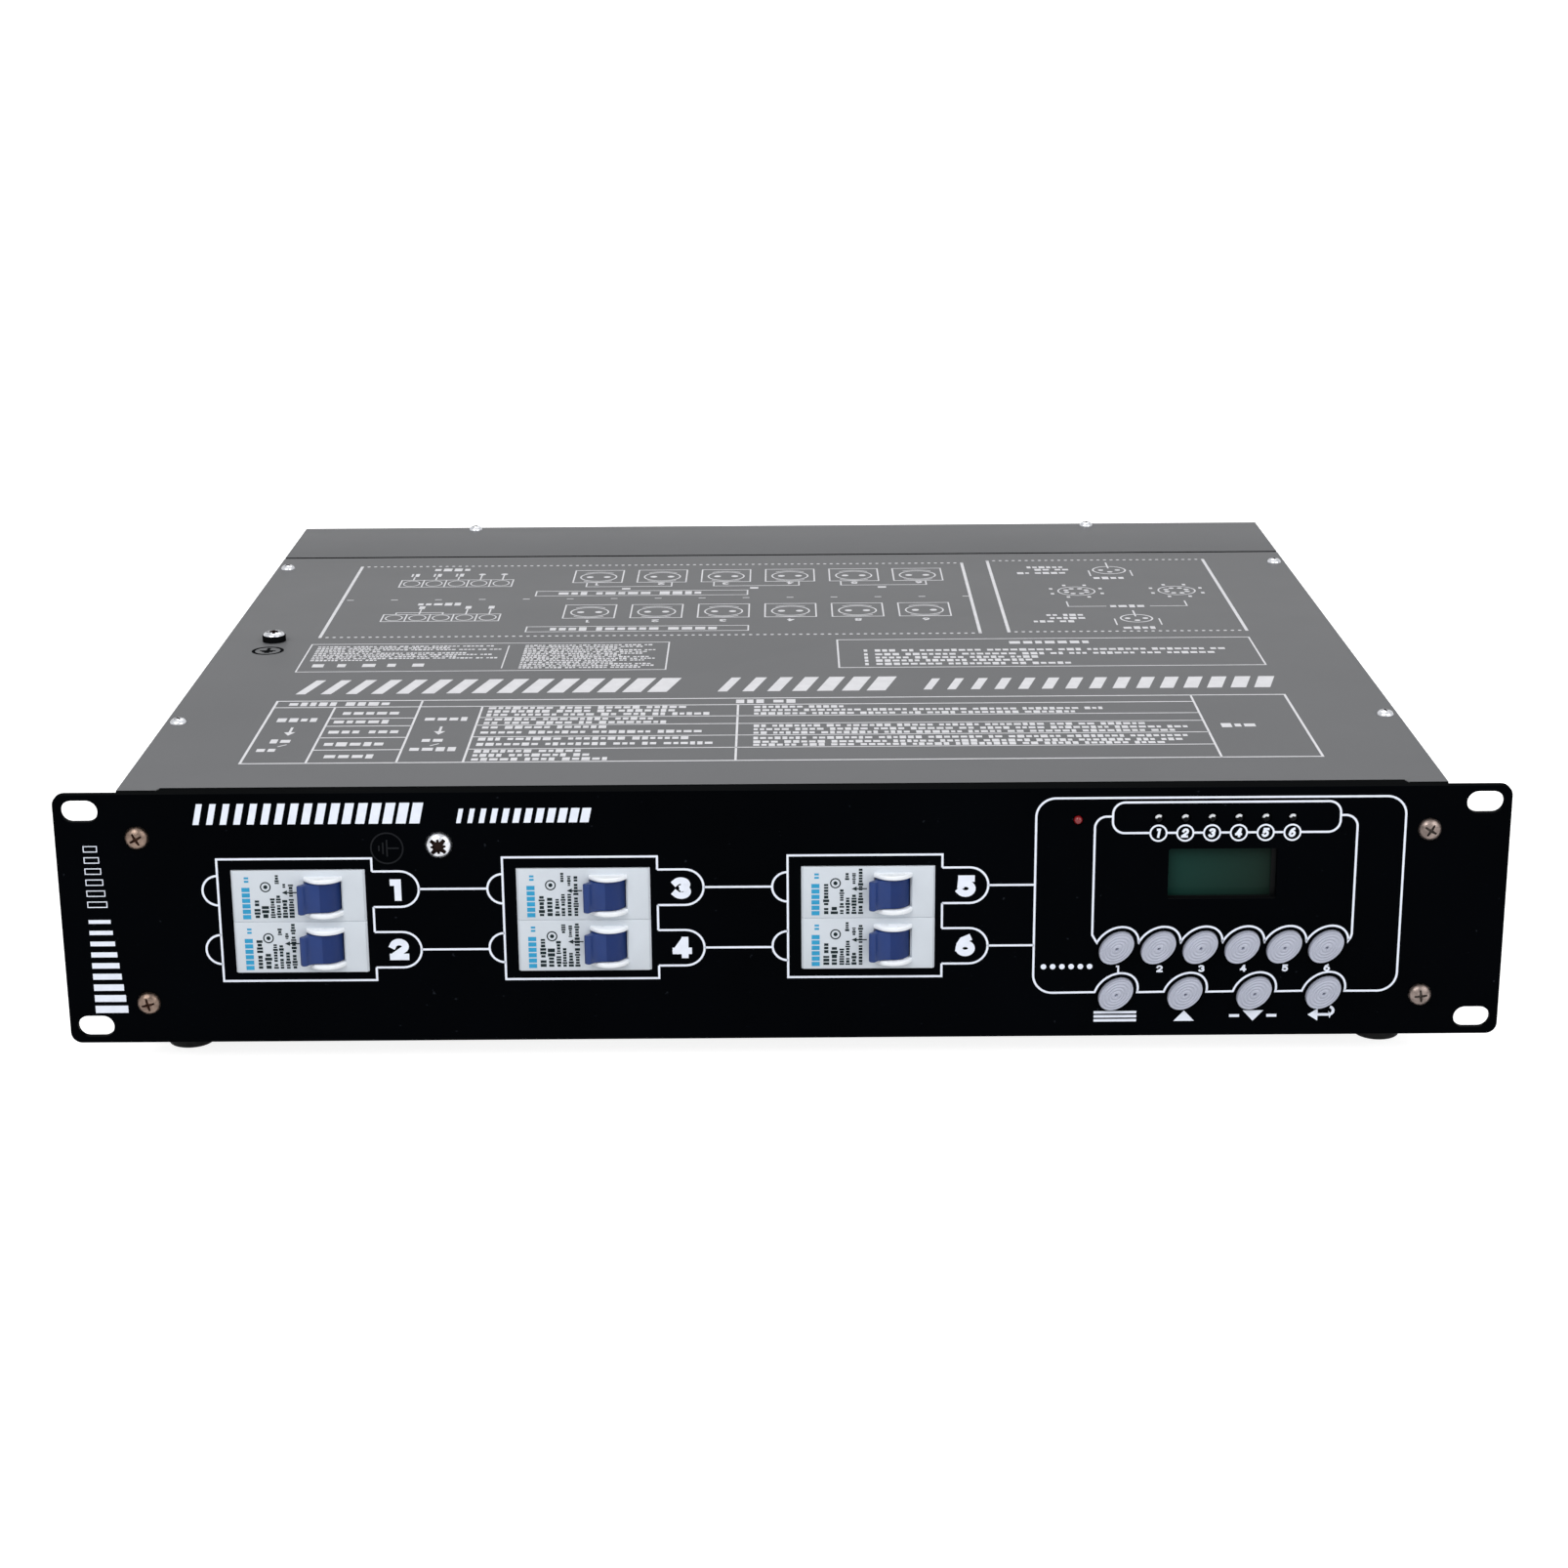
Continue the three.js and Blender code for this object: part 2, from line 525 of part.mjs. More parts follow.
function makeBreaker() {
  const front = -breaker.proud;
  const rear = front + breaker.depth;
  const halfNose = breaker.noseLength / 2;
  const halfLength = breaker.length / 2;
  const seatHalf = rail.width / 2 + seatGap;
  const seatY = rear - railSeat.depth;
  const hookY = seatY + rail.sheet + 2 * seatGap;
  const noseEnd = front + breaker.noseDepth;
  const half = [
    [halfNose - breaker.noseChamfer, front],
    [halfNose, front + breaker.noseChamfer],
    [halfNose, noseEnd],
    [halfLength - breaker.shoulderInset, noseEnd + breaker.shoulderRise],
    [halfLength, noseEnd + breaker.shoulderRise + breaker.shoulderInset],
    [halfLength, rear - breaker.rearChamfer],
    [halfLength - breaker.rearChamfer, rear],
    [seatHalf - railSeat.hookReach, rear],
    [seatHalf - railSeat.hookReach, hookY],
    [seatHalf, hookY],
    [seatHalf, seatY],
  ];
  const mirrored = half.map(([x, y]) => [-x, y]).reverse();
  const outline = [...half, ...mirrored].map(([x, y]) => new THREE.Vector2(x, y));
  const moulding = prism('z', outline, -breaker.width / 2, breaker.width / 2);
  const slotHalf = toggle.width / 2 + slideGap;
  const cheeks = rod('z', cheek.radius, -slotHalf - cheek.thickness, slotHalf + cheek.thickness,
    facets.round, [toggle.x, pivotY, 0]);
  const swept = toggle.length + slideGap;
  const slotZ = [-slotHalf, slotHalf];
  const leverSpace = block([toggle.x - swept, toggle.x + swept], [front - swept, front], slotZ);
  const mouth = block([toggle.x - toggle.mouthWidth / 2, toggle.x + toggle.mouthWidth / 2],
    [front - overrun, front + toggle.mouthDepth], slotZ);
  const drumSpace = rod('z', toggle.drumRadius + slideGap, -slotHalf, slotHalf, facets.round,
    [toggle.x, pivotY, 0]);
  return toGeometry(without(joined(moulding, cheeks), leverSpace, mouth, drumSpace));
}

// Toggle: a drum with a lever whose two faces are hollowed for the finger
function makeToggle() {
  const root = toggle.drumRadius / 2;
  const middle = (toggle.drumRadius + toggle.length) / 2;
  const half = [
    [toggle.rootWidth / 2, -root],
    [toggle.waistWidth / 2, -middle],
    [toggle.tipWidth / 2, toggle.tipRadius - toggle.length],
    [toggle.tipWidth / 2 - toggle.tipRadius, -toggle.length],
  ];
  const mirrored = half.map(([x, y]) => [-x, y]).reverse();
  const outline = [...half, ...mirrored].map(([x, y]) => new THREE.Vector2(x, y));
  const lever = prism('z', outline, -toggle.width / 2, toggle.width / 2);
  const drum = rod('z', toggle.drumRadius, -toggle.width / 2, toggle.width / 2, facets.round);
  return toGeometry(joined(drum, lever));
}

const breakerGeometry = makeBreaker();
const toggleGeometry = makeToggle();
pairPlaces.forEach((x, pair) => {
  [1, -1].forEach((up, row) => {
    const number = 2 * pair + row + 1;
    const z = breakerPair.z + up * breakerOffset;
    addPiece(`breaker_${number}`, breakerGeometry, 'whitePlastic', [x, 0, z]);
    const lever = addPiece(`breaker_toggle_${number}`, toggleGeometry, 'bluePlastic',
      [x + toggle.x, pivotY, z]);
    lever.rotation.z = -fullTurn * toggle.lean;
  });
});

// Bracket that carries the three rails

function makeBracket() {
  const railFront = breaker.depth - breaker.proud - railSeat.depth + seatGap;
  const railRear = railFront + rail.height;
  const flangeY = railFront + rail.sheet / 2;
  const hatY = railRear - rail.sheet / 2;
  const halfHat = (rail.hatWidth - rail.sheet) / 2;
  const railTop = breakerPair.z + breakerOffset + breaker.width / 2 + rail.endOverhang;
  const railBottom = breakerPair.z - breakerOffset - breaker.width / 2 - rail.endOverhang;
  const rails = pairPlaces.map((x) => prism('z', foldedOutline([
    [x - rail.width / 2, flangeY], [x - halfHat, flangeY], [x - halfHat, hatY],
    [x + halfHat, hatY], [x + halfHat, flangeY], [x + rail.width / 2, flangeY],
  ], rail.sheet, rail.bend), railBottom, railTop));
  const plateY = railRear - weldDepth + sheet / 2;
  const footZ = standingZ + sheet / 2;
  const section = foldedOutline([
    [plateY, railTop + bracket.topOverhang], [plateY, footZ], [plateY + bracket.foot, footZ],
  ], sheet, bendRadius);
  const reach = rail.width / 2 + bracket.sideOverhang;
  const plate = prism('x', section, pairPlaces[0] - reach, pairPlaces[2] + reach);
  return toGeometry(joined(plate, ...rails));
}

addPiece('breaker_bracket', makeBracket(), 'zincSteel');

// Control board with a tact switch behind each button, on four posts

function makeControlBoard() {
  const frontY = board.frontY;
  const switchFront = frontY - tactSwitch.height;
  const solids = [];
  for (const { x, z } of buttonPlaces) {
    const half = tactSwitch.width / 2;
    solids.push(block([x - half, x + half], [switchFront, frontY + weldDepth], [z - half, z + half]));
    solids.push(rod('y', tactSwitch.plungerRadius, switchFront - tactSwitch.plungerHeight,
      switchFront + weldDepth, facets.tiny, [x, 0, z]));
  }
  for (const x of [board.left + boardPost.fromSide, board.right - boardPost.fromSide]) {
    for (const sign of bothSides) {
      solids.push(rod('y', boardPost.radius, caseFront, frontY + weldDepth, facets.small,
        [controlX + x, 0, sign * (boardHalf - boardPost.fromTop)]));
    }
  }
  const plate = block([controlX + board.left, controlX + board.right],
    [frontY, frontY + board.thickness], [-boardHalf, boardHalf]);
  return toGeometry(joined(plate, ...solids));
}

addPiece('control_board', makeControlBoard(), 'circuitBoard');

// Display module: a frame whose glass lies back behind the panel's window

function makeDisplay() {
  const front = panel.thickness + display.frontGap;
  const rear = board.frontY - seatGap;
  const frame = roundedRect(displayWindow.width + 2 * display.border,
    displayWindow.height + 2 * display.border, displayWindow.cornerRadius, cornerSteps.plain);
  const glass = roundedRect(displayWindow.width + 2 * display.glassMargin,
    displayWindow.height + 2 * display.glassMargin, displayWindow.cornerRadius, cornerSteps.least);
  const recess = prism('y', glass, front - overrun, display.glassDepth);
  return toGeometry(without(prism('y', frame, front, rear), recess));
}

addPiece('display_module', makeDisplay(), 'displayGlass', [controlX, 0, displayWindow.z]);

// Buttons: an oval cap with a crowned face, a flange behind the panel and a stem

function makeButton() {
  const flangeFront = panel.thickness + slideGap;
  const flangeRear = flangeFront + button.flangeThickness;
  const stemEnd = board.frontY - tactSwitch.height - tactSwitch.plungerHeight - button.travel - seatGap;
  const profile = [
    [0, -button.proud],
    [button.major - button.edgeDrop / 2, button.crown - button.proud],
    [button.major, button.crown + button.edgeDrop - button.proud],
    [button.major, flangeFront],
    [button.major + button.flangeReach, flangeFront],
    [button.major + button.flangeReach, flangeRear],
    [button.stemRadius, flangeRear],
    [button.stemRadius, stemEnd],
    [0, stemEnd],
  ];
  const geometry = turnedGeometry('y', profile, facets.barrel);
  geometry.scale(1, 1, button.minor / button.major);
  geometry.rotateY(-fullTurn * button.tilt);
  return toGeometry(toSolid(geometry));
}

const buttonGeometry = makeButton();
for (const { name, x, z } of buttonPlaces) addPiece(name, buttonGeometry, 'greyPlastic', [x, 0, z]);

// Lamps: a domed lens through the panel, on a spacer that stands on the board

function makeLamp() {
  const domeEnd = lamp.radius - lamp.proud;
  const collarFront = panel.thickness + seatGap;
  const profile = [
    [0, -lamp.proud],
    [lamp.radius * Math.sin(quarterTurn / 2), domeEnd - lamp.radius * Math.cos(quarterTurn / 2)],
    [lamp.radius, domeEnd],
    [lamp.radius, collarFront],
    [lamp.collarRadius, collarFront],
    [lamp.collarRadius, board.frontY - seatGap],
    [0, board.frontY - seatGap],
  ];
  return toGeometry(turned('y', profile, facets.small));
}

const lampGeometry = makeLamp();
for (const { name, x, z, finish } of lampPlaces) addPiece(name, lampGeometry, finish, [x, 0, z]);

// Power board: a suppression choke, a capacitor and a triac for each channel

function makePowerBoard() {
  const bottom = standingZ + powerBoard.height;
  const top = bottom + powerBoard.thickness;
  const rear = powerBoard.front + powerBoard.depth;
  const left = powerBoard.fromLeft - sideX;
  const right = sideX - powerBoard.fromRight;
  const channelPitch = (right - left) / channels;
  const solids = [];
  for (const channel of countUp(channels)) {
    const x = left + (channel + 1 / 2) * channelPitch;
    const ring = new THREE.TorusGeometry(choke.ringRadius, choke.tubeRadius, facets.tiny, facets.coil);
    const ringZ = top + choke.tubeRadius * Math.cos(fullTurn / (2 * facets.tiny)) - weldDepth;
    ring.translate(x, powerBoard.front + choke.fromFront, ringZ);
    solids.push(toSolid(ring));
    const capacitorY = powerBoard.front + capacitor.fromFront;
    solids.push(block([x - capacitor.width / 2, x + capacitor.width / 2],
      [capacitorY - capacitor.depth / 2, capacitorY + capacitor.depth / 2],
      [top - weldDepth, top + capacitor.height]));
    solids.push(block([x - triac.width / 2, x + triac.width / 2],
      [rear - weldDepth, rear + triac.thickness - seatGap], [bottom, top + triac.height]));
  }
  for (const x of [left + boardLeg.inset, right - boardLeg.inset]) {
    for (const y of [powerBoard.front + boardLeg.inset, rear - boardLeg.inset]) {
      solids.push(rod('z', boardLeg.radius, standingZ, bottom + weldDepth, facets.tiny, [x, y, 0]));
    }
  }
  const plate = block([left, right], [powerBoard.front, rear], [bottom, top]);
  return toGeometry(joined(plate, ...solids));
}

addPiece('power_board', makePowerBoard(), 'circuitBoard');

// Heat sink: one extrusion with upright fins, whose front fin is the wall for the triacs

function makeHeatSink() {
  const top = standingZ + heatSink.height;
  const baseTop = standingZ + heatSink.base;
  const rear = heatSinkFront + heatSink.depth;
  const pitch = (heatSink.depth - heatSink.base) / heatSink.fins;
  const outline = [[heatSinkFront, standingZ], [rear, standingZ]];
  for (const index of countUp(heatSink.fins)) {
    const finRear = rear - index * pitch;
    outline.push([finRear, top], [finRear - heatSink.finWidth, top]);
    outline.push([finRear - heatSink.finWidth, baseTop], [finRear - pitch, baseTop]);
  }
  outline.push([heatSinkFront + heatSink.base, top], [heatSinkFront, top]);
  const points = outline.map(([y, z]) => new THREE.Vector2(y, z));
  return toGeometry(prism('x', points, heatSink.fromLeft - sideX, sideX - heatSink.fromRight));
}

addPiece('heat_sink', makeHeatSink(), 'aluminium');

// Transformer for the control electronics, on a strap foot

function makeTransformer() {
  const { y } = transformer;
  const x = sideX - transformer.fromSide;
  const spanX = (width) => [x - width / 2, x + width / 2];
  const spanY = (depth) => [y - depth / 2, y + depth / 2];
  const core = block(spanX(transformer.coreWidth), spanY(transformer.coreDepth),
    [standingZ, standingZ + transformer.height]);
  const windingMiddle = standingZ + transformer.height / 2;
  const coil = prism('y', roundedRect(winding.width, winding.height, winding.cornerRadius,
    cornerSteps.plain, x, windingMiddle), ...spanY(winding.depth));
  const strap = block(spanX(transformerFoot.width), spanY(transformer.coreDepth),
    [standingZ, standingZ + transformerFoot.thickness]);
  return toGeometry(joined(core, coil, strap));
}

addPiece('transformer', makeTransformer(), 'lamination');

// Fan: a square frame with a motor carrier on four struts, and a rotor with swept blades

const fanRight = innerSide - seatGap;
const fanLeft = fanRight - fan.thickness;
const carrierRight = fanLeft + fan.carrierThickness;
const hubLeft = carrierRight + slideGap;
const hubRight = fanRight - fan.hubRecess;

function makeFanFrame() {
  const outline = roundedRect(fan.size, fan.size, fan.cornerRadius, cornerSteps.plain);
  const bore = roundPoints(fanBore, fanBore, facets.wide);
  const frame = prism('x', outline, fanLeft, fanRight, [bore]);
  const carrier = rod('x', fan.carrierRadius, fanLeft, carrierRight, facets.barrel);
  const halfStrut = fan.strutWidth / 2;
  const reach = fanBore + weldDepth;
  const struts = [
    block([fanLeft, carrierRight], [-reach, reach], [-halfStrut, halfStrut]),
    block([fanLeft, carrierRight], [-halfStrut, halfStrut], [-reach, reach]),
  ];
  const bearing = rod('x', fan.shaftRadius + slideGap, fanLeft - overrun, carrierRight + overrun,
    facets.small);
  return toGeometry(without(joined(frame, carrier, ...struts), bearing));
}

function makeFanRotor() {
  const middle = (hubLeft + hubRight) / 2;
  const hub = rod('x', fan.hubRadius, hubLeft, hubRight, facets.barrel);
  const shaft = rod('x', fan.shaftRadius, fanLeft, hubLeft + weldDepth, facets.small);
  const halfChord = (hubRight - hubLeft - fan.bladeThickness) / 2 - fan.bladeInset;
  const section = foldedOutline([
    [middle - halfChord, -fan.bladeSweep / 2], [middle, -fan.bladeCamber],
    [middle + halfChord, fan.bladeSweep / 2],
  ], fan.bladeThickness, fan.bladeThickness);
  const blades = countUp(fan.blades).map((index) => {
    const geometry = prismGeometry('z', section, fan.hubRadius - fan.bladeThickness,
      fanBore - fan.tipGap);
    geometry.rotateX((fullTurn * index) / fan.blades);
    return toSolid(geometry);
  });
  return toGeometry(joined(hub, shaft, ...blades));
}

addPiece('fan_frame', makeFanFrame(), 'blackPlastic', [0, heatSinkMiddle, 0]);
addPiece('fan_rotor', makeFanRotor(), 'blackPlastic', [0, heatSinkMiddle, 0]);

// Mains outlets: a round recess with pin holes, guide ribs and earth clips.
// The rear connectors are modelled with y = 0 on the rear panel's outer face.

function makeOutlet() {
  const face = seatGap + outlet.flangeThickness;
  const recessFloor = face - outlet.recessDepth;
  const flange = prism('y', roundedRect(outlet.flange, outlet.flange, outlet.cornerRadius,
    cornerSteps.outlet), seatGap, face);
  const bodySolid = rod('y', outletBody, -outlet.bodyDepth, seatGap + weldDepth, facets.round);
  const recess = rod('y', outletRecess, recessFloor, face + overrun, facets.round);
  const details = [];
  const pinHoles = [];
  for (const sign of bothSides) {
    const ribX = [sign * (outletRecess - outletRib.reach), sign * (outletRecess + weldDepth)];
    details.push(block(ribX.sort((a, b) => a - b), [recessFloor - weldDepth, face],
      [-outletRib.width / 2, outletRib.width / 2]));
    const clipZ = [sign * (outletRecess - outletClip.reach), sign * (outletRecess + weldDepth)];
    details.push(block([-outletClip.width / 2, outletClip.width / 2],
      [recessFloor - weldDepth, face - outletClip.fromFace], clipZ.sort((a, b) => a - b)));
    pinHoles.push(rod('y', outlet.pinRadius, recessFloor - outlet.pinDepth, recessFloor + overrun,
      facets.tiny, [(sign * outlet.pinSpacing) / 2, 0, 0]));
  }
  const shell = without(joined(flange, bodySolid), recess);
  return toGeometry(without(joined(shell, ...details), ...pinHoles));
}

const outletGeometry = makeOutlet();
outletPlaces.forEach((x, index) => {
  addPiece(`outlet_${index + 1}`, outletGeometry, 'blackPlastic', [x, caseRear, 0]);
});

// Signal connectors: three pins in a deep mouth, or a core with three holes and a latch

const signalFace = seatGap + signalPlug.thickness;

function signalShell() {
  const flange = prism('y', roundedRect(signalPlug.width, signalPlug.height, signalPlug.cornerRadius,
    cornerSteps.plain), seatGap, signalFace);
  const barrel = rod('y', signalPlug.barrelRadius, -signalPlug.barrelDepth, seatGap + weldDepth,
    facets.barrel);
  return joined(flange, barrel);
}

function aroundPins(make) {
  return countUp(signalPlug.pins).map((index) => {
    const angle = quarterTurn * (index + 2);
    return make(signalPlug.pinCircle * Math.cos(angle), signalPlug.pinCircle * Math.sin(angle));
  });
}

function makeSignalInput() {
  const floor = signalFace - signalPlug.mouthDepth;
  const mouth = rod('y', signalPlug.mouthRadius, floor, signalFace + overrun, facets.barrel);
  const pins = aroundPins((x, z) => rod('y', signalPlug.pinRadius, floor - weldDepth,
    floor + signalPlug.pinLength, facets.tiny, [x, 0, z]));
  return toGeometry(joined(without(signalShell(), mouth), ...pins));
}

function makeSignalOutput() {
  const grooveFloor = signalFace - signalCore.grooveDepth;
  const groove = turned('y', [
    [signalCore.radius, grooveFloor], [signalPlug.mouthRadius, grooveFloor],
    [signalPlug.mouthRadius, signalFace + overrun], [signalCore.radius, signalFace + overrun],
    [signalCore.radius, grooveFloor],
  ], facets.barrel);
  const holes = aroundPins((x, z) => rod('y', signalCore.holeRadius, signalFace - signalCore.holeDepth,
    signalFace + overrun, facets.tiny, [x, 0, z]));
  const halfWidth = latch.width / 2 + slideGap;
  const halfHeight = latch.height / 2 + slideGap;
  const pocket = block([-halfWidth, halfWidth], [signalFace - latch.depth - latch.travel - slideGap,
    signalFace + overrun], [latch.z - halfHeight, latch.z + halfHeight]);
  return toGeometry(without(signalShell(), groove, pocket, ...holes));
}

function makeLatch() {
  const headRear = signalFace + latch.travel + slideGap;
  const headFront = headRear + latch.headThickness;
  const headZ = latch.z + (latch.headHeight - latch.height) / 2;
  const stem = prism('y', roundedRect(latch.width, latch.height, latch.cornerRadius, cornerSteps.least,
    0, latch.z), signalFace - latch.depth, headFront);
  const head = prism('y', roundedRect(latch.headWidth, latch.headHeight, latch.headCornerRadius,
    cornerSteps.plain, 0, headZ), headRear, headFront);
  return toGeometry(joined(stem, head));
}

addPiece('signal_input', makeSignalInput(), 'nickel', [signalLeft, caseRear, signal.topZ]);
addPiece('signal_output', makeSignalOutput(), 'nickel', [signalRight, caseRear, signal.topZ]);
addPiece('signal_latch', makeLatch(), 'blackPlastic', [signalRight, caseRear, signal.topZ]);

// Analog inputs: round eight-pin sockets

function makeAnalogSocket() {
  const face = seatGap + analogSocket.thickness;
  const grooveFloor = face - analogSocket.grooveDepth;
  const { width, height, cornerRadius } = analogSocket;
  const flange = prism('y', roundedRect(width, height, cornerRadius, cornerSteps.plain), seatGap, face);
  const barrel = rod('y', analogSocket.barrelRadius, -analogSocket.barrelDepth, seatGap + weldDepth,
    facets.barrel);
  const groove = turned('y', [
    [analogSocket.coreRadius, grooveFloor], [analogSocket.grooveRadius, grooveFloor],
    [analogSocket.grooveRadius, face + overrun], [analogSocket.coreRadius, face + overrun],
    [analogSocket.coreRadius, grooveFloor],
  ], facets.barrel);
  const pinHole = (x, z) => rod('y', analogSocket.pinRadius, face - analogSocket.pinDepth,
    face + overrun, facets.pin, [x, 0, z]);
  const ringHoles = countUp(analogSocket.ringPins).map((index) => {
    const angle = (fullTurn * (index - 1)) / (analogSocket.ringPins + 1);
    return pinHole(analogSocket.pinCircle * Math.cos(angle), analogSocket.pinCircle * Math.sin(angle));
  });
  return toGeometry(without(joined(flange, barrel), groove, pinHole(0, 0), ...ringHoles));
}

const analogGeometry = makeAnalogSocket();
addPiece('analog_input_1', analogGeometry, 'blackPlastic', [signalLeft, caseRear, signal.bottomZ]);
addPiece('analog_input_2', analogGeometry, 'blackPlastic', [signalRight, caseRear, signal.bottomZ]);

// Cable gland for the mains lead, and the nut that holds it from inside

function makeGland() {
  const hexEnd = seatGap + gland.hexLength;
  const hexagon = rod('y', gland.hexRadius, seatGap, hexEnd, facets.tiny);
  const dome = turned('y', [
    [0, hexEnd - weldDepth], [gland.domeRadius, hexEnd - weldDepth],
    [gland.domeRadius, hexEnd + gland.domeLength / 2], [gland.mouthRadius, hexEnd + gland.domeLength],
    [0, hexEnd + gland.domeLength],
  ], facets.barrel);
  const thread = rod('y', gland.threadRadius, -gland.threadLength, seatGap + weldDepth, facets.barrel);
  const bore = rod('y', gland.boreRadius, -gland.threadLength - overrun,
    hexEnd + gland.domeLength + overrun, facets.barrel);
  return toGeometry(without(joined(hexagon, dome, thread), bore));
}

function makeGlandNut() {
  const rear = -sheet - seatGap;
  const nut = rod('y', gland.hexRadius, rear - gland.nutThickness, rear, facets.tiny);
  const bore = rod('y', gland.threadRadius + seatGap, rear - gland.nutThickness - overrun, rear + overrun,
    facets.barrel);
  return toGeometry(without(nut, bore));
}

addPiece('cable_gland', makeGland(), 'blackPlastic', [glandX, caseRear, gland.z]);
addPiece('gland_nut', makeGlandNut(), 'blackPlastic', [glandX, caseRear, gland.z]);

// Terminal block for the mains lead, under the wiring cover

function makeTerminalBlock() {
  const rear = caseRear - terminal.fromRear;
  const front = rear - terminal.depth;
  const top = standingZ + terminal.height;
  const shoulderZ = top - terminal.shoulderDrop;
  const outline = [
    [front, standingZ], [rear, standingZ], [rear, shoulderZ], [rear - terminal.shoulder, shoulderZ],
    [rear - terminal.shoulder, top], [front + terminal.shoulder, top],
    [front + terminal.shoulder, shoulderZ], [front, shoulderZ],
  ].map(([y, z]) => new THREE.Vector2(y, z));
  const halfLength = (terminal.poles * terminal.pitch) / 2;
  const bodySolid = prism('x', outline, glandX - halfLength, glandX + halfLength);
  const cutAway = [];
  for (const pole of countUp(terminal.poles)) {
    const x = glandX + (pole - (terminal.poles - 1) / 2) * terminal.pitch;
    const wireZ = (standingZ + shoulderZ) / 2;
    cutAway.push(rod('y', terminal.wireRadius, front - overrun, front + terminal.pocketDepth,
      facets.tiny, [x, 0, wireZ]));
    cutAway.push(rod('y', terminal.wireRadius, rear - terminal.pocketDepth, rear + overrun,
      facets.tiny, [x, 0, wireZ]));
    cutAway.push(rod('z', terminal.screwRadius, top - terminal.pocketDepth / 2, top + overrun, facets.tiny,
      [x, (front + rear) / 2, 0]));
  }
  return toGeometry(without(bodySolid, ...cutAway));
}

addPiece('terminal_block', makeTerminalBlock(), 'whitePlastic');

// Feet: tapered rubber with a recess for the screw

function makeFoot() {
  const bottom = caseBottom - seatGap - foot.height;
  const profile = [
    [0, bottom + footHole.depth], [footHole.radius, bottom + footHole.depth],
    [footHole.radius, bottom], [foot.bottomRadius, bottom],
    [foot.topRadius, bottom + foot.height], [0, bottom + foot.height],
  ];
  return toGeometry(turned('z', profile, facets.barrel));
}

const footGeometry = makeFoot();
const footEnds = { front: caseFront + foot.fromEnd, rear: caseRear - foot.fromEnd };
for (const [end, y] of Object.entries(footEnds)) {
  addPiece(`foot_${end}_left`, footGeometry, 'rubber', [foot.fromSide - sideX, y, 0]);
  addPiece(`foot_${end}_right`, footGeometry, 'rubber', [sideX - foot.fromSide, y, 0]);
}

// The origin goes to the middle of the base
const bounds = new THREE.Box3().setFromObject(unit, true);
const middle = bounds.getCenter(new THREE.Vector3());
unit.position.set(-middle.x, -middle.y, -bounds.min.z);

export default unit;
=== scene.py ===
# Dressed model of a six-channel dimmer pack, in the frame of its CAD parts.
# Pieces are modelled in millimetres from the middle of the front panel's face: x to the
# right, y to the rear and z up. Their place in the frame, in metres, is applied last.

import math
import random

import bpy
from mathutils import Matrix, Vector


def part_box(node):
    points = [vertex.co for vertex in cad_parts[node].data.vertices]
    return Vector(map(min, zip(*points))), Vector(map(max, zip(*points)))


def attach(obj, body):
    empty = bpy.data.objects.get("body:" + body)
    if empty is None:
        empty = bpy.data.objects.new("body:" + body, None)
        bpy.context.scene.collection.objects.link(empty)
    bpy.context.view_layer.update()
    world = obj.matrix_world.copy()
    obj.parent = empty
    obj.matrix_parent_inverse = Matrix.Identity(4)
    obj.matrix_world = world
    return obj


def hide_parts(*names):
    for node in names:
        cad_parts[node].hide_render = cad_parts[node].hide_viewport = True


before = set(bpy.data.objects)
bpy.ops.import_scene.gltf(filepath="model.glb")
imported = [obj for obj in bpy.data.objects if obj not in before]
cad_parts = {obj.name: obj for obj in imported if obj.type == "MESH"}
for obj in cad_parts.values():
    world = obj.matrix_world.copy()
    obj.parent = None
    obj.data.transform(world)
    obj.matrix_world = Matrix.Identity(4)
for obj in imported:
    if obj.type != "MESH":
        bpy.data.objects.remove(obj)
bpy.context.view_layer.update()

mm = 0.001
panelLow, panelHigh = (Vector(corner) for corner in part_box("front_panel"))
origin = Vector(((panelLow.x + panelHigh.x) / 2, panelLow.y, (panelLow.z + panelHigh.z) / 2))
toRow = Matrix.Translation(origin) @ Matrix.Scale(mm, 4)
toPanel = toRow.inverted()


def boxOf(node):
    low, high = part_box(node)
    return toPanel @ Vector(low), toPanel @ Vector(high)


def middleOf(node):
    low, high = boxOf(node)
    return (low + high) / 2


# Camera, fitted to the photograph

cameraPlace = {"lens": 66.68, "sensor": 36, "location": (0.00053, -1.12780, 0.38287),
               "turn": (72.752, 0.3786, -0.1225)}
scene = bpy.context.scene
cameraData = bpy.data.cameras.new("camera")
cameraData.lens = cameraPlace["lens"]
cameraData.sensor_width = cameraPlace["sensor"]
camera = bpy.data.objects.new("camera", cameraData)
camera.location = cameraPlace["location"]
camera.rotation_euler = [math.radians(angle) for angle in cameraPlace["turn"]]
scene.collection.objects.link(camera)
scene.camera = camera
scene.view_settings.view_transform = "Standard"


# Materials

finishPattern = {
    "low": 0.3, "high": 0.7,  # where the noise is cut off at both ends
    "mottleDetail": 4.0, "glossDetail": 5.0, "fineDetail": 2.0,
    "glossScale": 3,  # finer than the mottle by this factor
    "speckEdge": 0.03,
}


def linear(colour):
    # A colour written as #rrggbb, in linear light
    values = []
    for start in (1, 3, 5):
        value = int(colour[start:start + 2], 16) / 255
        values.append(value / 12.92 if value <= 0.04045 else ((value + 0.055) / 1.055) ** 2.4)
    return values


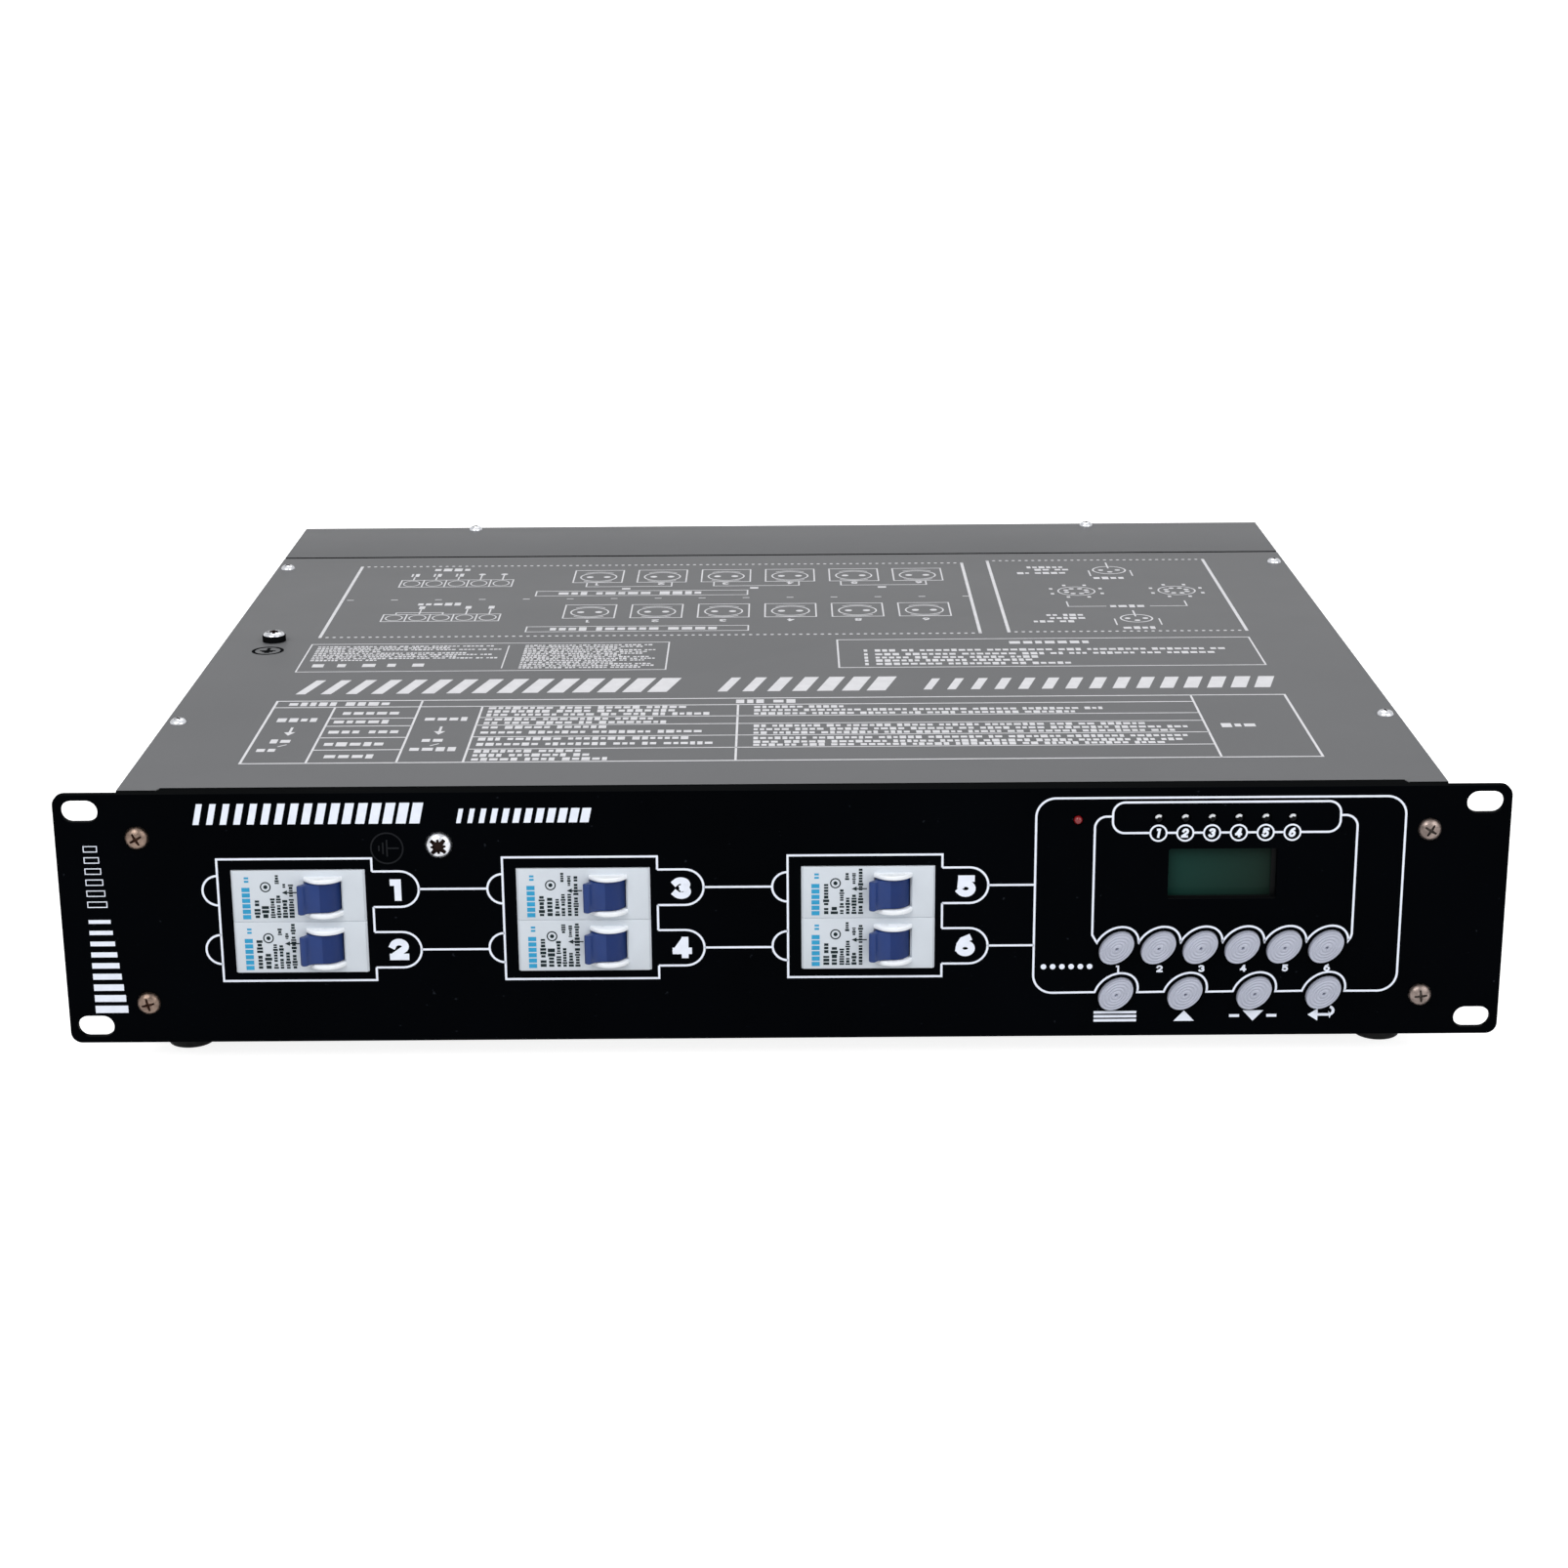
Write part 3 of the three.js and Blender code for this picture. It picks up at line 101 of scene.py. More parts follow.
def addNode(tree, kind, inputs=None, **settings):
    node = tree.nodes.new(kind)
    for key, value in settings.items():
        setattr(node, key, value)
    for key, value in (inputs or {}).items():
        if isinstance(value, bpy.types.NodeSocket):
            tree.links.new(value, node.inputs[key])
        else:
            node.inputs[key].default_value = value
    return node


def stretchedNoise(tree, scale, stretch=(1, 1, 1), detail=finishPattern["fineDetail"]):
    coords = addNode(tree, "ShaderNodeTexCoord").outputs["Object"]
    mapping = addNode(tree, "ShaderNodeMapping", {"Vector": coords, "Scale": stretch})
    noise = addNode(tree, "ShaderNodeTexNoise", {
        "Vector": mapping.outputs["Vector"], "Scale": scale, "Detail": detail})
    return noise.outputs["Fac"]


def ramp(tree, source, stops):
    # Stops are pairs of a place and a brightness or colour
    node = addNode(tree, "ShaderNodeValToRGB", {"Fac": source})
    elements = node.color_ramp.elements
    while len(elements) < len(stops):
        elements.new(0.5)
    for element, (place, colour) in zip(elements, stops):
        if not isinstance(colour, (list, tuple)):
            colour = (colour, colour, colour)
        element.position = place
        element.color = (*colour, 1)
    return node.outputs["Color"]


def makeFinish(name, colour, roughness, metallic=0.0, specular=0.5, mottle=0.06, mottleScale=60,
               spread=0.06, grain=0.01, grainScale=1500, stretch=(1, 1, 1), specks=None, extra=None):
    # Uneven colour and gloss, and a surface grain whose depth is in millimetres. Specks are a
    # colour, a scale and the noise value that they start from
    low, high = finishPattern["low"], finishPattern["high"]
    material = bpy.data.materials.new(name)
    material.use_nodes = True
    tree = material.node_tree
    shader = tree.nodes["Principled BSDF"]
    shader.inputs["Metallic"].default_value = metallic
    shader.inputs["Specular IOR Level"].default_value = specular
    for key, value in (extra or {}).items():
        shader.inputs[key].default_value = value
    base = linear(colour)
    uneven = stretchedNoise(tree, mottleScale, stretch, finishPattern["mottleDetail"])
    shade = ramp(tree, uneven, [
        (low, [value * (1 - mottle) for value in base]),
        (high, [min(1, value * (1 + mottle)) for value in base]),
    ])
    if specks:
        speckColour, speckScale, speckStart = specks
        dots = stretchedNoise(tree, speckScale)
        mask = ramp(tree, dots, [(speckStart, 0.0), (speckStart + finishPattern["speckEdge"], 1.0)])
        shade = addNode(tree, "ShaderNodeMix", {
            "Factor": mask, "A": shade, "B": (*linear(speckColour), 1)}, data_type="RGBA")
        shade = shade.outputs["Result"]
    tree.links.new(shade, shader.inputs["Base Color"])
    glossNoise = stretchedNoise(tree, mottleScale * finishPattern["glossScale"], stretch,
                                finishPattern["glossDetail"])
    gloss = addNode(tree, "ShaderNodeMapRange", {
        "Value": glossNoise, "From Min": low, "From Max": high,
        "To Min": max(0, roughness - spread), "To Max": roughness + spread})
    tree.links.new(gloss.outputs["Result"], shader.inputs["Roughness"])
    bump = addNode(tree, "ShaderNodeBump", {
        "Height": stretchedNoise(tree, grainScale, stretch), "Strength": 1.0,
        "Distance": grain * mm})
    tree.links.new(bump.outputs["Normal"], shader.inputs["Normal"])
    return material


blackCoat = makeFinish("black_coat", "#020305", 0.42, specular=0.008, mottle=0.2, mottleScale=25,
                       grain=0.004, specks=("#1c1f24", 420, 0.752))
# A flat black. The lid's front strip is black. On the panel's top edge and the window's sill it is painted
# light. On the front edges of the lid and wiring cover and on the earth washer it is painted shade
blackPaintedLightAndShade = makeFinish("black_painted_light_and_shade", "#0f1011", 0.5, specular=0.0, mottle=0.08, mottleScale=30,
                       grain=0.004)
greyPaint = makeFinish("grey_paint", "#6b6c6e", 0.45, specular=0.02, mottle=0.025, mottleScale=14,
                       spread=0.012, grain=0.009, grainScale=2600)
zinc = makeFinish("zinc", "#aab0b4", 0.34, metallic=0.9, mottle=0.12, mottleScale=220, spread=0.12,
                  grain=0.004)
aluminium = makeFinish("aluminium", "#b6b9bd", 0.38, metallic=0.95, mottle=0.06, mottleScale=300,
                       spread=0.1, grain=0.006, grainScale=900, stretch=(0.03, 1, 1))
nickel = makeFinish("nickel", "#bdbab4", 0.26, metallic=1.0, mottle=0.08, mottleScale=160,
                    grain=0.003, grainScale=1800)
copperyNickel = makeFinish("coppery_nickel", "#78675d", 0.34, metallic=1.0, mottle=0.32,
                           mottleScale=420, spread=0.14, grain=0.012, grainScale=1700)
dullNickel = makeFinish("dull_nickel", "#7c706b", 0.36, metallic=1.0, mottle=0.32,
                        mottleScale=420, spread=0.14, grain=0.012, grainScale=1700)
# Darker finishes for the screws' recesses: painted shade
recessPaintedShade = makeFinish("recess_painted_shade", "#2b1f1b", 0.6, metallic=0.4, specular=0.1, mottle=0.2,
                        grain=0.004)
recessPaintedShadeBrown = makeFinish("recess_painted_shade_brown", "#5a3f34", 0.6, metallic=0.4, specular=0.1, mottle=0.2,
                         grain=0.004)
recessPaintedShadeGrey = makeFinish("recess_painted_shade_grey", "#6d6560", 0.6, metallic=0.4, specular=0.1, mottle=0.2,
                        grain=0.004)
brightZinc = makeFinish("bright_zinc", "#c9cbd0", 0.26, metallic=1.0, mottle=0.2, mottleScale=500,
                        spread=0.1, grain=0.01, grainScale=1700)
breakerWhite = makeFinish("breaker_white", "#ccd3db", 0.42, specular=0.4, mottle=0.03,
                          mottleScale=90, grain=0.012, grainScale=2600)
# A lighter copy of the breaker's white for the cheeks: painted light
breakerWhitePaintedLight = makeFinish("breaker_white_painted_light", "#eef2f7", 0.3, mottle=0.015, mottleScale=90,
                        grain=0.006, grainScale=2600)
toggleBlue = makeFinish("toggle_blue", "#16336f", 0.34, specular=0.3, mottle=0.06, mottleScale=130,
                        grain=0.006, grainScale=1900)
# A darker copy of the toggle's blue for the drum's faces: painted shade
toggleBluePaintedShade = makeFinish("toggle_blue_painted_shade", "#122b62", 0.36, specular=0.2, mottle=0.06, mottleScale=130,
                      grain=0.006, grainScale=1900)
buttonGrey = makeFinish("button_grey", "#acb0bf", 0.46, specular=0.42, mottle=0.05, mottleScale=160,
                        grain=0.01, grainScale=2300)
blackPlastic = makeFinish("black_plastic", "#17181a", 0.42, mottle=0.12, mottleScale=80,
                          grain=0.02, grainScale=1900)
rubber = makeFinish("rubber", "#0c0d0e", 0.72, specular=0.2, mottle=0.18, mottleScale=140,
                    spread=0.1, grain=0.04, grainScale=1300)
boardGreen = makeFinish("board_green", "#1c5632", 0.42, mottle=0.16, mottleScale=260,
                        grain=0.03, grainScale=700, specks=("#9a8d54", 330, 0.66))
lamination = makeFinish("lamination", "#4b4b4e", 0.55, metallic=0.6, mottle=0.2, mottleScale=500,
                        grain=0.05, grainScale=1400, stretch=(0.05, 1, 1))
clearLens = makeFinish("clear_lens", "#0b0c0e", 0.12, specular=0.04, mottle=0.1, mottleScale=300,
                       grain=0.002, extra={"IOR": 1.49})
# A bright finish for a patch on each lamp's dome: a painted highlight
lensPaintedHighlight = makeFinish("lens_painted_highlight", "#d3d6da", 0.2, mottle=0.1, mottleScale=900, grain=0.002)
redLens = makeFinish("red_lens", "#7d1319", 0.14, mottle=0.1, mottleScale=300, grain=0.002,
                     extra={"IOR": 1.49})
displayFrame = makeFinish("display_frame", "#060809", 0.5, specular=0.08, mottle=0.1, grain=0.006)
whiteInk = makeFinish("white_ink", "#e8eefb", 0.5, specular=0.3, mottle=0.04, mottleScale=300,
                      grain=0.003)
greyInk = makeFinish("grey_ink", "#d6d6da", 0.5, specular=0.05, mottle=0.05, mottleScale=260,
                     grain=0.003)
darkInk = makeFinish("dark_ink", "#1a2629", 0.5, specular=0.1, mottle=0.1, grain=0.002)
shadeInk = makeFinish("shade_ink", "#111214", 0.6, specular=0.0, mottle=0.1, grain=0.002)
blackInk = makeFinish("black_ink", "#0f1115", 0.5, specular=0.1, mottle=0.1, grain=0.002)
cyanInk = makeFinish("cyan_ink", "#2b97c4", 0.45, specular=0.3, mottle=0.07, mottleScale=300,
                     grain=0.002)
contactBrass = makeFinish("contact_brass", "#b08d45", 0.3, metallic=1.0, mottle=0.1, grain=0.004)


def makeDisplayGlass():
    # Dark green liquid crystal, lighter at the left as painted light and darkest along its lower edge as
    # painted shade
    settings = {"leftPaintedLight": (0.12, "#1b3a34"), "rightPaintedLight": (0.9, "#1c2b25"),
                "lowPaintedShade": (0.06, 0.42), "noPaintedShade": (0.2, 1.0)}
    material = makeFinish("display_glass", "#22403a", 0.2, specular=0.02, mottle=0.1,
                          mottleScale=40, grain=0.001)
    tree = material.node_tree
    low, high = (Vector(corner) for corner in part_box("display_module"))
    coords = addNode(tree, "ShaderNodeTexCoord").outputs["Object"]
    split = addNode(tree, "ShaderNodeSeparateXYZ", {"Vector": coords})
    across = addNode(tree, "ShaderNodeMapRange", {
        "Value": split.outputs["X"], "From Min": low.x, "From Max": high.x})
    up = addNode(tree, "ShaderNodeMapRange", {
        "Value": split.outputs["Z"], "From Min": low.z, "From Max": high.z})
    paintedLights = [(place, linear(colour)) for place, colour in (settings["leftPaintedLight"], settings["rightPaintedLight"])]
    paintedLightAcross = ramp(tree, across.outputs["Result"], paintedLights)
    dim = ramp(tree, up.outputs["Result"], [settings["lowPaintedShade"], settings["noPaintedShade"]])
    shade = addNode(tree, "ShaderNodeMix", {"Factor": 1.0, "A": paintedLightAcross, "B": dim},
                    data_type="RGBA", blend_type="MULTIPLY")
    tree.links.new(shade.outputs["Result"], tree.nodes["Principled BSDF"].inputs["Base Color"])
    return material


displayGlass = makeDisplayGlass()
print("materials made")


# Modelling helpers

fullTurn = math.pi * 2
mergeDistance = 0.0005
samePoint = 0.001
upright = Matrix.Rotation(math.radians(90), 4, "X")
fromBehind = Matrix.Rotation(math.radians(180), 4, "Z") @ upright
sideways = Matrix(((0, 0, 1, 0), (1, 0, 0, 0), (0, 1, 0, 0), (0, 0, 0, 1)))
still = Matrix()
layDown = Matrix.Rotation(-math.radians(90), 4, "X")


def only(*pieces):
    bpy.ops.object.select_all(action="DESELECT")
    for piece in pieces:
        piece.select_set(True)
    bpy.context.view_layer.objects.active = pieces[0]


def tidyMesh(piece):
    only(piece)
    bpy.ops.object.mode_set(mode="EDIT")
    bpy.ops.mesh.select_all(action="SELECT")
    bpy.ops.mesh.remove_doubles(threshold=mergeDistance)
    bpy.ops.mesh.normals_make_consistent(inside=False)
    bpy.ops.object.mode_set(mode="OBJECT")
    return piece


def modify(piece, kind, **settings):
    only(piece)
    modifier = piece.modifiers.new(kind.lower(), kind)
    for key, value in settings.items():
        setattr(modifier, key, value)
    bpy.ops.object.modifier_apply(modifier=modifier.name)
    return piece


def newPiece(points, edges, faces):
    mesh = bpy.data.meshes.new("work")
    mesh.from_pydata(points, edges, faces)
    piece = bpy.data.objects.new("work", mesh)
    scene.collection.objects.link(piece)
    return piece


def addPlate(outlines, thickness, edge=0.0, rounds=1):
    # A plate in XY from z 0 up. The first outline is its rim and the others are holes
    curve = bpy.data.curves.new("work", "CURVE")
    curve.dimensions = "2D"
    curve.fill_mode = "BOTH"
    curve.extrude = thickness / 2 - edge
    curve.bevel_depth = edge
    curve.bevel_resolution = rounds
    curve.offset = -edge
    for outline in outlines:
        spline = curve.splines.new("POLY")
        spline.points.add(len(outline) - 1)
        for point, (x, y) in zip(spline.points, outline):
            point.co = (x, y, 0, 1)
        spline.use_cyclic_u = True
    piece = bpy.data.objects.new("work", curve)
    scene.collection.objects.link(piece)
    only(piece)
    bpy.ops.object.convert(target="MESH")
    piece = bpy.context.object
    piece.data.transform(Matrix.Translation((0, 0, thickness / 2)))
    return tidyMesh(piece)


def addTurned(profile, steps=64):
    # One corner is extruded along a profile of (radius, height) and spun round Z
    bpy.ops.object.select_all(action="DESELECT")
    bpy.ops.mesh.primitive_plane_add(size=1)
    piece = bpy.context.object
    bpy.ops.object.mode_set(mode="EDIT")
    bpy.ops.mesh.select_mode(type="VERT")
    bpy.ops.mesh.select_all(action="SELECT")
    bpy.ops.mesh.merge(type="CENTER")
    radius, height = profile[0]
    bpy.ops.transform.translate(value=(radius, 0, height))
    for nextRadius, nextHeight in profile[1:]:
        bpy.ops.mesh.extrude_region_move(
            TRANSFORM_OT_translate={"value": (nextRadius - radius, 0, nextHeight - height)})
        radius, height = nextRadius, nextHeight
    bpy.ops.mesh.select_all(action="SELECT")
    bpy.ops.mesh.spin(steps=steps, angle=fullTurn, center=(0, 0, 0), axis=(0, 0, 1))
    bpy.ops.object.mode_set(mode="OBJECT")
    return tidyMesh(piece)


def addRod(radius, low, high, steps=48):
    bpy.ops.object.select_all(action="DESELECT")
    bpy.ops.mesh.primitive_cylinder_add(vertices=steps, radius=radius, depth=high - low)
    return moved(bpy.context.object, z=(low + high) / 2)


def addBlock(low, high):
    bpy.ops.object.select_all(action="DESELECT")
    bpy.ops.mesh.primitive_cube_add(size=1)
    piece = bpy.context.object
    size = [top - bottom for bottom, top in zip(low, high)]
    centre = [(top + bottom) / 2 for bottom, top in zip(low, high)]
    piece.data.transform(Matrix.Translation(centre) @ Matrix.Diagonal((*size, 1)))
    return piece


def pickFaces(piece, test):
    # Opens edit mode with the faces selected whose middle and normal pass the test
    only(piece)
    bpy.ops.object.mode_set(mode="EDIT")
    bpy.ops.mesh.select_mode(type="FACE")
    bpy.ops.mesh.select_all(action="DESELECT")
    bpy.ops.object.mode_set(mode="OBJECT")
    for face in piece.data.polygons:
        face.select = bool(test(face.center, face.normal))
    bpy.ops.object.mode_set(mode="EDIT")


def pushFaces(value):
    bpy.ops.mesh.extrude_region_move(TRANSFORM_OT_translate={"value": value})


def leaveEdit():
    bpy.ops.object.mode_set(mode="OBJECT")


def moved(piece, x=0.0, y=0.0, z=0.0, turn=still):
    piece.data.transform(Matrix.Translation((x, y, z)) @ turn)
    return piece


def roundEdges(piece, width, segments=2, angle=35):
    return modify(piece, "BEVEL", width=width, segments=segments, limit_method="ANGLE",
                  angle_limit=math.radians(angle), use_clamp_overlap=True)


def joined(*pieces):
    only(*pieces)
    bpy.ops.object.join()
    return bpy.context.object


def cut(piece, tool):
    modify(piece, "BOOLEAN", operation="DIFFERENCE", object=tool, solver="EXACT")
    bpy.data.objects.remove(tool)
    return piece


def copyOf(piece):
    copy = bpy.data.objects.new("work", piece.data.copy())
    scene.collection.objects.link(copy)
    return copy


def removeAll(*pieces):
    for piece in pieces:
        bpy.data.objects.remove(piece)


def markFaces(piece, test):
    # Faces that take the piece's second finish
    for face in piece.data.polygons:
        face.material_index = 1 if test(face.center, face.normal) else 0
    return piece


def finishPiece(piece, name, material, body="case", replaces=(), place=(0, 0, 0),
                turn=still, smooth=35):
    # A pair of materials is for the faces left plain and the marked ones
    finishes = material if isinstance(material, tuple) else (material,)
    marks = [min(face.material_index, len(finishes) - 1) for face in piece.data.polygons]
    piece.data.transform(toRow @ Matrix.Translation(place) @ turn)
    piece.name = name
    piece.data.name = name
    piece.data.materials.clear()
    for finish in finishes:
        piece.data.materials.append(finish)
    piece.data.polygons.foreach_set("material_index", marks)
    if smooth:
        only(piece)
        bpy.ops.object.shade_smooth_by_angle(angle=math.radians(smooth))
    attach(piece, body)
    if replaces:
        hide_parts(*replaces)
    return piece


# Outlines

def around(x, y, halfX, halfY):
    # Left, right, bottom and top of what lies round a middle
    return x - halfX, x + halfX, y - halfY, y + halfY


def roundPoints(radiusX, radiusY=None, count=48, x=0.0, y=0.0, tilt=0.0):
    radiusY = radiusY or radiusX
    points = []
    for index in range(count):
        angle = fullTurn * index / count
        across, up = radiusX * math.cos(angle), radiusY * math.sin(angle)
        points.append((x + across * math.cos(tilt) - up * math.sin(tilt),
                       y + across * math.sin(tilt) + up * math.cos(tilt)))
    return points


def roundedRect(left, right, bottom, top, radius, steps=6):
    points = []
    corners = [(right - radius, top - radius), (left + radius, top - radius),
               (left + radius, bottom + radius), (right - radius, bottom + radius)]
    for corner, (x, y) in enumerate(corners):
        for step in range(steps + 1):
            angle = math.pi / 2 * (corner + step / steps)
            points.append((x + radius * math.cos(angle), y + radius * math.sin(angle)))
    kept = []
    for point in points:
        if not kept or math.dist(point, kept[-1]) > samePoint:
            kept.append(point)
    if math.dist(kept[0], kept[-1]) < samePoint:
        kept.pop()
    return kept


def foldedOutline(corners, thickness, insideRadius, steps=6):
    # The outline of one sheet folded along a line of its mid-plane's corners
    line = [Vector(corner) for corner in corners]
    radius = insideRadius + thickness / 2
    left, right = [], []

    def addPair(point, normal):
        left.append(tuple(point + normal * thickness / 2))
        right.append(tuple(point - normal * thickness / 2))

    def leftOf(vector):
        return Vector((-vector.y, vector.x))

    ways = [(line[index + 1] - line[index]).normalized() for index in range(len(line) - 1)]
    addPair(line[0], leftOf(ways[0]))
    for index in range(1, len(line) - 1):
        before, after = ways[index - 1], ways[index]
        turn = math.atan2(before.x * after.y - before.y * after.x, before.dot(after))
        side = math.copysign(1, turn)
        start = line[index] - before * radius * math.tan(abs(turn) / 2)
        centre = start + leftOf(before) * side * radius
        for step in range(steps + 1):
            angle = turn * step / steps
            base = leftOf(before)
            normal = Vector((base.x * math.cos(angle) - base.y * math.sin(angle),
                             base.x * math.sin(angle) + base.y * math.cos(angle)))
            addPair(centre - normal * side * radius, normal)
    addPair(line[-1], leftOf(ways[-1]))
    return left + right[::-1]


def arc(x, y, radius, start, end, steps=16, radiusY=None):
    radiusY = radiusY or radius
    angles = [math.radians(start + (end - start) * step / steps) for step in range(steps + 1)]
    return [(x + radius * math.cos(angle), y + radiusY * math.sin(angle)) for angle in angles]


# Front panel

tilt = math.radians(41)  # of the oval buttons
buttonMajor, buttonMinor = 6.5, 4.6
windowLow, windowHigh = 8.9, 8.6  # of the display's window, from its middle
buttonNames = [f"channel_button_{number}" for number in range(1, 7)]
buttonNames += ["menu_button", "up_button", "down_button", "escape_button"]
lampNames = ["power_led"] + [f"channel_led_{number}" for number in range(1, 7)]
pairPlaces = [middleOf(f"breaker_{number}").x for number in (1, 3, 5)]
displayPlace = middleOf("display_module")
pairZ = -0.8  # middle of each pair of breakers


def makeFrontPanel():
    settings = {"corner": 3.75, "slotX": 232.55, "slotZ": 38.1, "slotLength": 12.3, "slotHeight": 7.5,
                "slotFlat": 0.01, "windowX": 22.6, "windowZ": 18.3, "windowCorner": 0.5,
                "glassX": 18.05, "glassCorner": 0.8, "buttonGap": 0.25, "lampRadius": 1.7,
                "edge": 0.25, "topEdge": 1, "sill": 0.6}
    low, high = boxOf("front_panel")
    outlines = [roundedRect(low.x, high.x, low.z, high.z, settings["corner"])]
    halfX, halfZ = settings["slotLength"] / 2, settings["slotHeight"] / 2
    for signX in (-1, 1):
        for signZ in (-1, 1):
            box = around(signX * settings["slotX"], signZ * settings["slotZ"], halfX, halfZ)
            outlines.append(roundedRect(*box, halfZ - settings["slotFlat"], 10))
    for x in pairPlaces:
        box = around(x, pairZ, settings["windowX"], settings["windowZ"])
        outlines.append(roundedRect(*box, settings["windowCorner"]))
    sill = displayPlace.z - windowLow
    outlines.append(roundedRect(
        displayPlace.x - settings["glassX"], displayPlace.x + settings["glassX"],
        sill, displayPlace.z + windowHigh, settings["glassCorner"]))
    for name in buttonNames:
        place = middleOf(name)
        gap = settings["buttonGap"]
        outlines.append(roundPoints(buttonMajor + gap, buttonMinor + gap, 64, place.x, place.z, tilt))
    for name in lampNames:
        place = middleOf(name)
        outlines.append(roundPoints(settings["lampRadius"], None, 24, place.x, place.z))
    plate = addPlate(outlines, high.y - low.y, settings["edge"], 2)

    def isPaintedLight(centre, normal):
        # The panel's top edge and the sill of the display's window. Their upward faces take a lighter flat
        # black than the panel's face: painted light
        onSill = abs(centre.y - sill) < settings["sill"]
        inWindow = abs(centre.x - displayPlace.x) < settings["glassX"] + 1
        return normal.y > 0.5 and (centre.y > high.z - settings["topEdge"] or onSill and inWindow)

    markFaces(plate, isPaintedLight)
    finishPiece(plate, "panel_plate", (blackCoat, blackPaintedLightAndShade),
                replaces=["front_panel"], place=(0, high.y, 0), turn=upright)


makeFrontPanel()
print("front panel made")


# Case: tray with its slots, top cover, wiring cover and rear panel

sheet = 1.2
sheetEdge = 0.12  # rounding of a cut edge
bendRadius = 1.5  # inside a fold
overrun = 1  # of a cutting tool past what it cuts


def facesFront(centre, normal):
    return normal.y < -0.5


def makeTray():
    settings = {"edge": 0.1, "flange": 14, "lip": 6, "endGap": 2.7, "slotHalf": 1.5,
                "slotCorner": 1.49, "slotPitch": 6.5, "intakes": 11, "intakeHalf": 20,
                "grilleSlots": 7, "grilleRadius": 23.5, "toolDepth": 4, "toolProud": 1.5}
    low, high = boxOf("chassis_tray")
    fanLow, fanHigh = boxOf("fan_frame")
    inner = high.x - settings["flange"]
    side = high.x - sheet / 2
    top, floor = high.z - sheet / 2, low.z + sheet / 2
    section = foldedOutline([(-inner, top), (-side, top), (-side, floor),
                             (side, floor), (side, top), (inner, top)], sheet, bendRadius)
    tray = addPlate([section], high.y - low.y, settings["edge"])
    moved(tray, y=high.y, turn=upright)
    ends = []
    for sign in (-1, 1):
        nearX, farX = sorted((sign * side, sign * inner))
        for y in (low.y, high.y - sheet):
            ends.append(addBlock((nearX, y, low.z + settings["endGap"]),
                                 (farX, y + sheet, high.z - settings["endGap"])))
    ends.append(addBlock((-(inner - sheet), low.y, floor),
                         (inner - sheet, low.y + sheet, low.z + sheet + settings["lip"])))
    middle = (fanLow.y + fanHigh.y) / 2
    tools = []

    def addSlot(across, half, x):
        box = around(middle + across, 0, settings["slotHalf"], half)
        slot = addPlate([roundedRect(*box, settings["slotCorner"])], settings["toolDepth"])
        tools.append(moved(slot, x=x, turn=sideways))

    for index in range(settings["intakes"]):
        across = (index - settings["intakes"] // 2) * settings["slotPitch"]
        addSlot(across, settings["intakeHalf"], low.x - settings["toolProud"])
    for index in range(settings["grilleSlots"]):
        across = (index - settings["grilleSlots"] // 2) * settings["slotPitch"]
        half = math.sqrt(settings["grilleRadius"] ** 2 - across ** 2)
        addSlot(across, half, high.x + settings["toolProud"] - settings["toolDepth"])
    cut(tray, joined(*tools))
    tray = joined(tray, *ends)
    finishPiece(tray, "tray_sheet", greyPaint, replaces=["chassis_tray"])


def makeLid():
    # The lid's front edge lies on a black strip that is folded down behind the panel
    settings = {"strip": 4.3, "tab": 1.8, "tabWidth": 13, "tabSlope": 1, "overlap": 0.7, "step": 0.3,
                "bend": 0.8, "stripEnd": 15, "stripDepth": 2.7}
    low, high = boxOf("top_cover")
    frontY = low.y + sheet / 2
    inY, tabY = low.y + settings["strip"], low.y + settings["tab"]
    corner = high.x - settings["tabWidth"]
    inner = corner - settings["tabSlope"]
    top = addPlate([[(low.x, tabY), (-corner, tabY), (-inner, inY), (inner, inY), (corner, tabY),
                     (high.x, tabY), (high.x, high.y), (low.x, high.y)]], sheet, sheetEdge)
    # The lid's front-facing cut edges take the flat black: painted shade
    markFaces(top, facesFront)
    finishPiece(top, "top_sheet", (greyPaint, blackPaintedLightAndShade), replaces=["top_cover"],
                place=(0, 0, high.z - sheet))
    stripZ = high.z - sheet / 2 - settings["step"]
    section = foldedOutline([(inY + settings["overlap"], stripZ), (frontY, stripZ), (frontY, low.z)],
                            sheet, settings["bend"])
    strip = addPlate([section], high.x - low.x, sheetEdge)
    moved(strip, x=low.x, turn=sideways)
    ends = []
    for sign in (-1, 1):
        nearX, farX = sorted((sign * (high.x - settings["stripEnd"]), sign * (high.x + overrun)))
        ends.append(addBlock((nearX, low.y - overrun, low.z - overrun),
                             (farX, low.y + settings["stripDepth"], high.z - settings["step"] - sheet)))
    cut(strip, joined(*ends))
    finishPiece(strip, "top_front_strip", blackPaintedLightAndShade)


def makeWiringCover():
    settings = {"seam": 1.3, "lipEnd": 15, "lipStep": 0.1}
    low, high = boxOf("wiring_cover")
    front = low.y + settings["seam"]
    plate = addPlate([[(low.x, front), (high.x, front), (high.x, high.y), (low.x, high.y)]],
                     sheet, sheetEdge)
    moved(plate, z=high.z - sheet)
    lip = addBlock((low.x + settings["lipEnd"], front + settings["lipStep"], low.z),
                   (high.x - settings["lipEnd"], front + sheet, high.z - sheet / 2))
    # The cover's front-facing faces, at the seam behind the lid, take the flat black: painted shade
    cover = markFaces(joined(plate, lip), facesFront)
    finishPiece(cover, "wiring_sheet", (greyPaint, blackPaintedLightAndShade),
                replaces=["wiring_cover"])


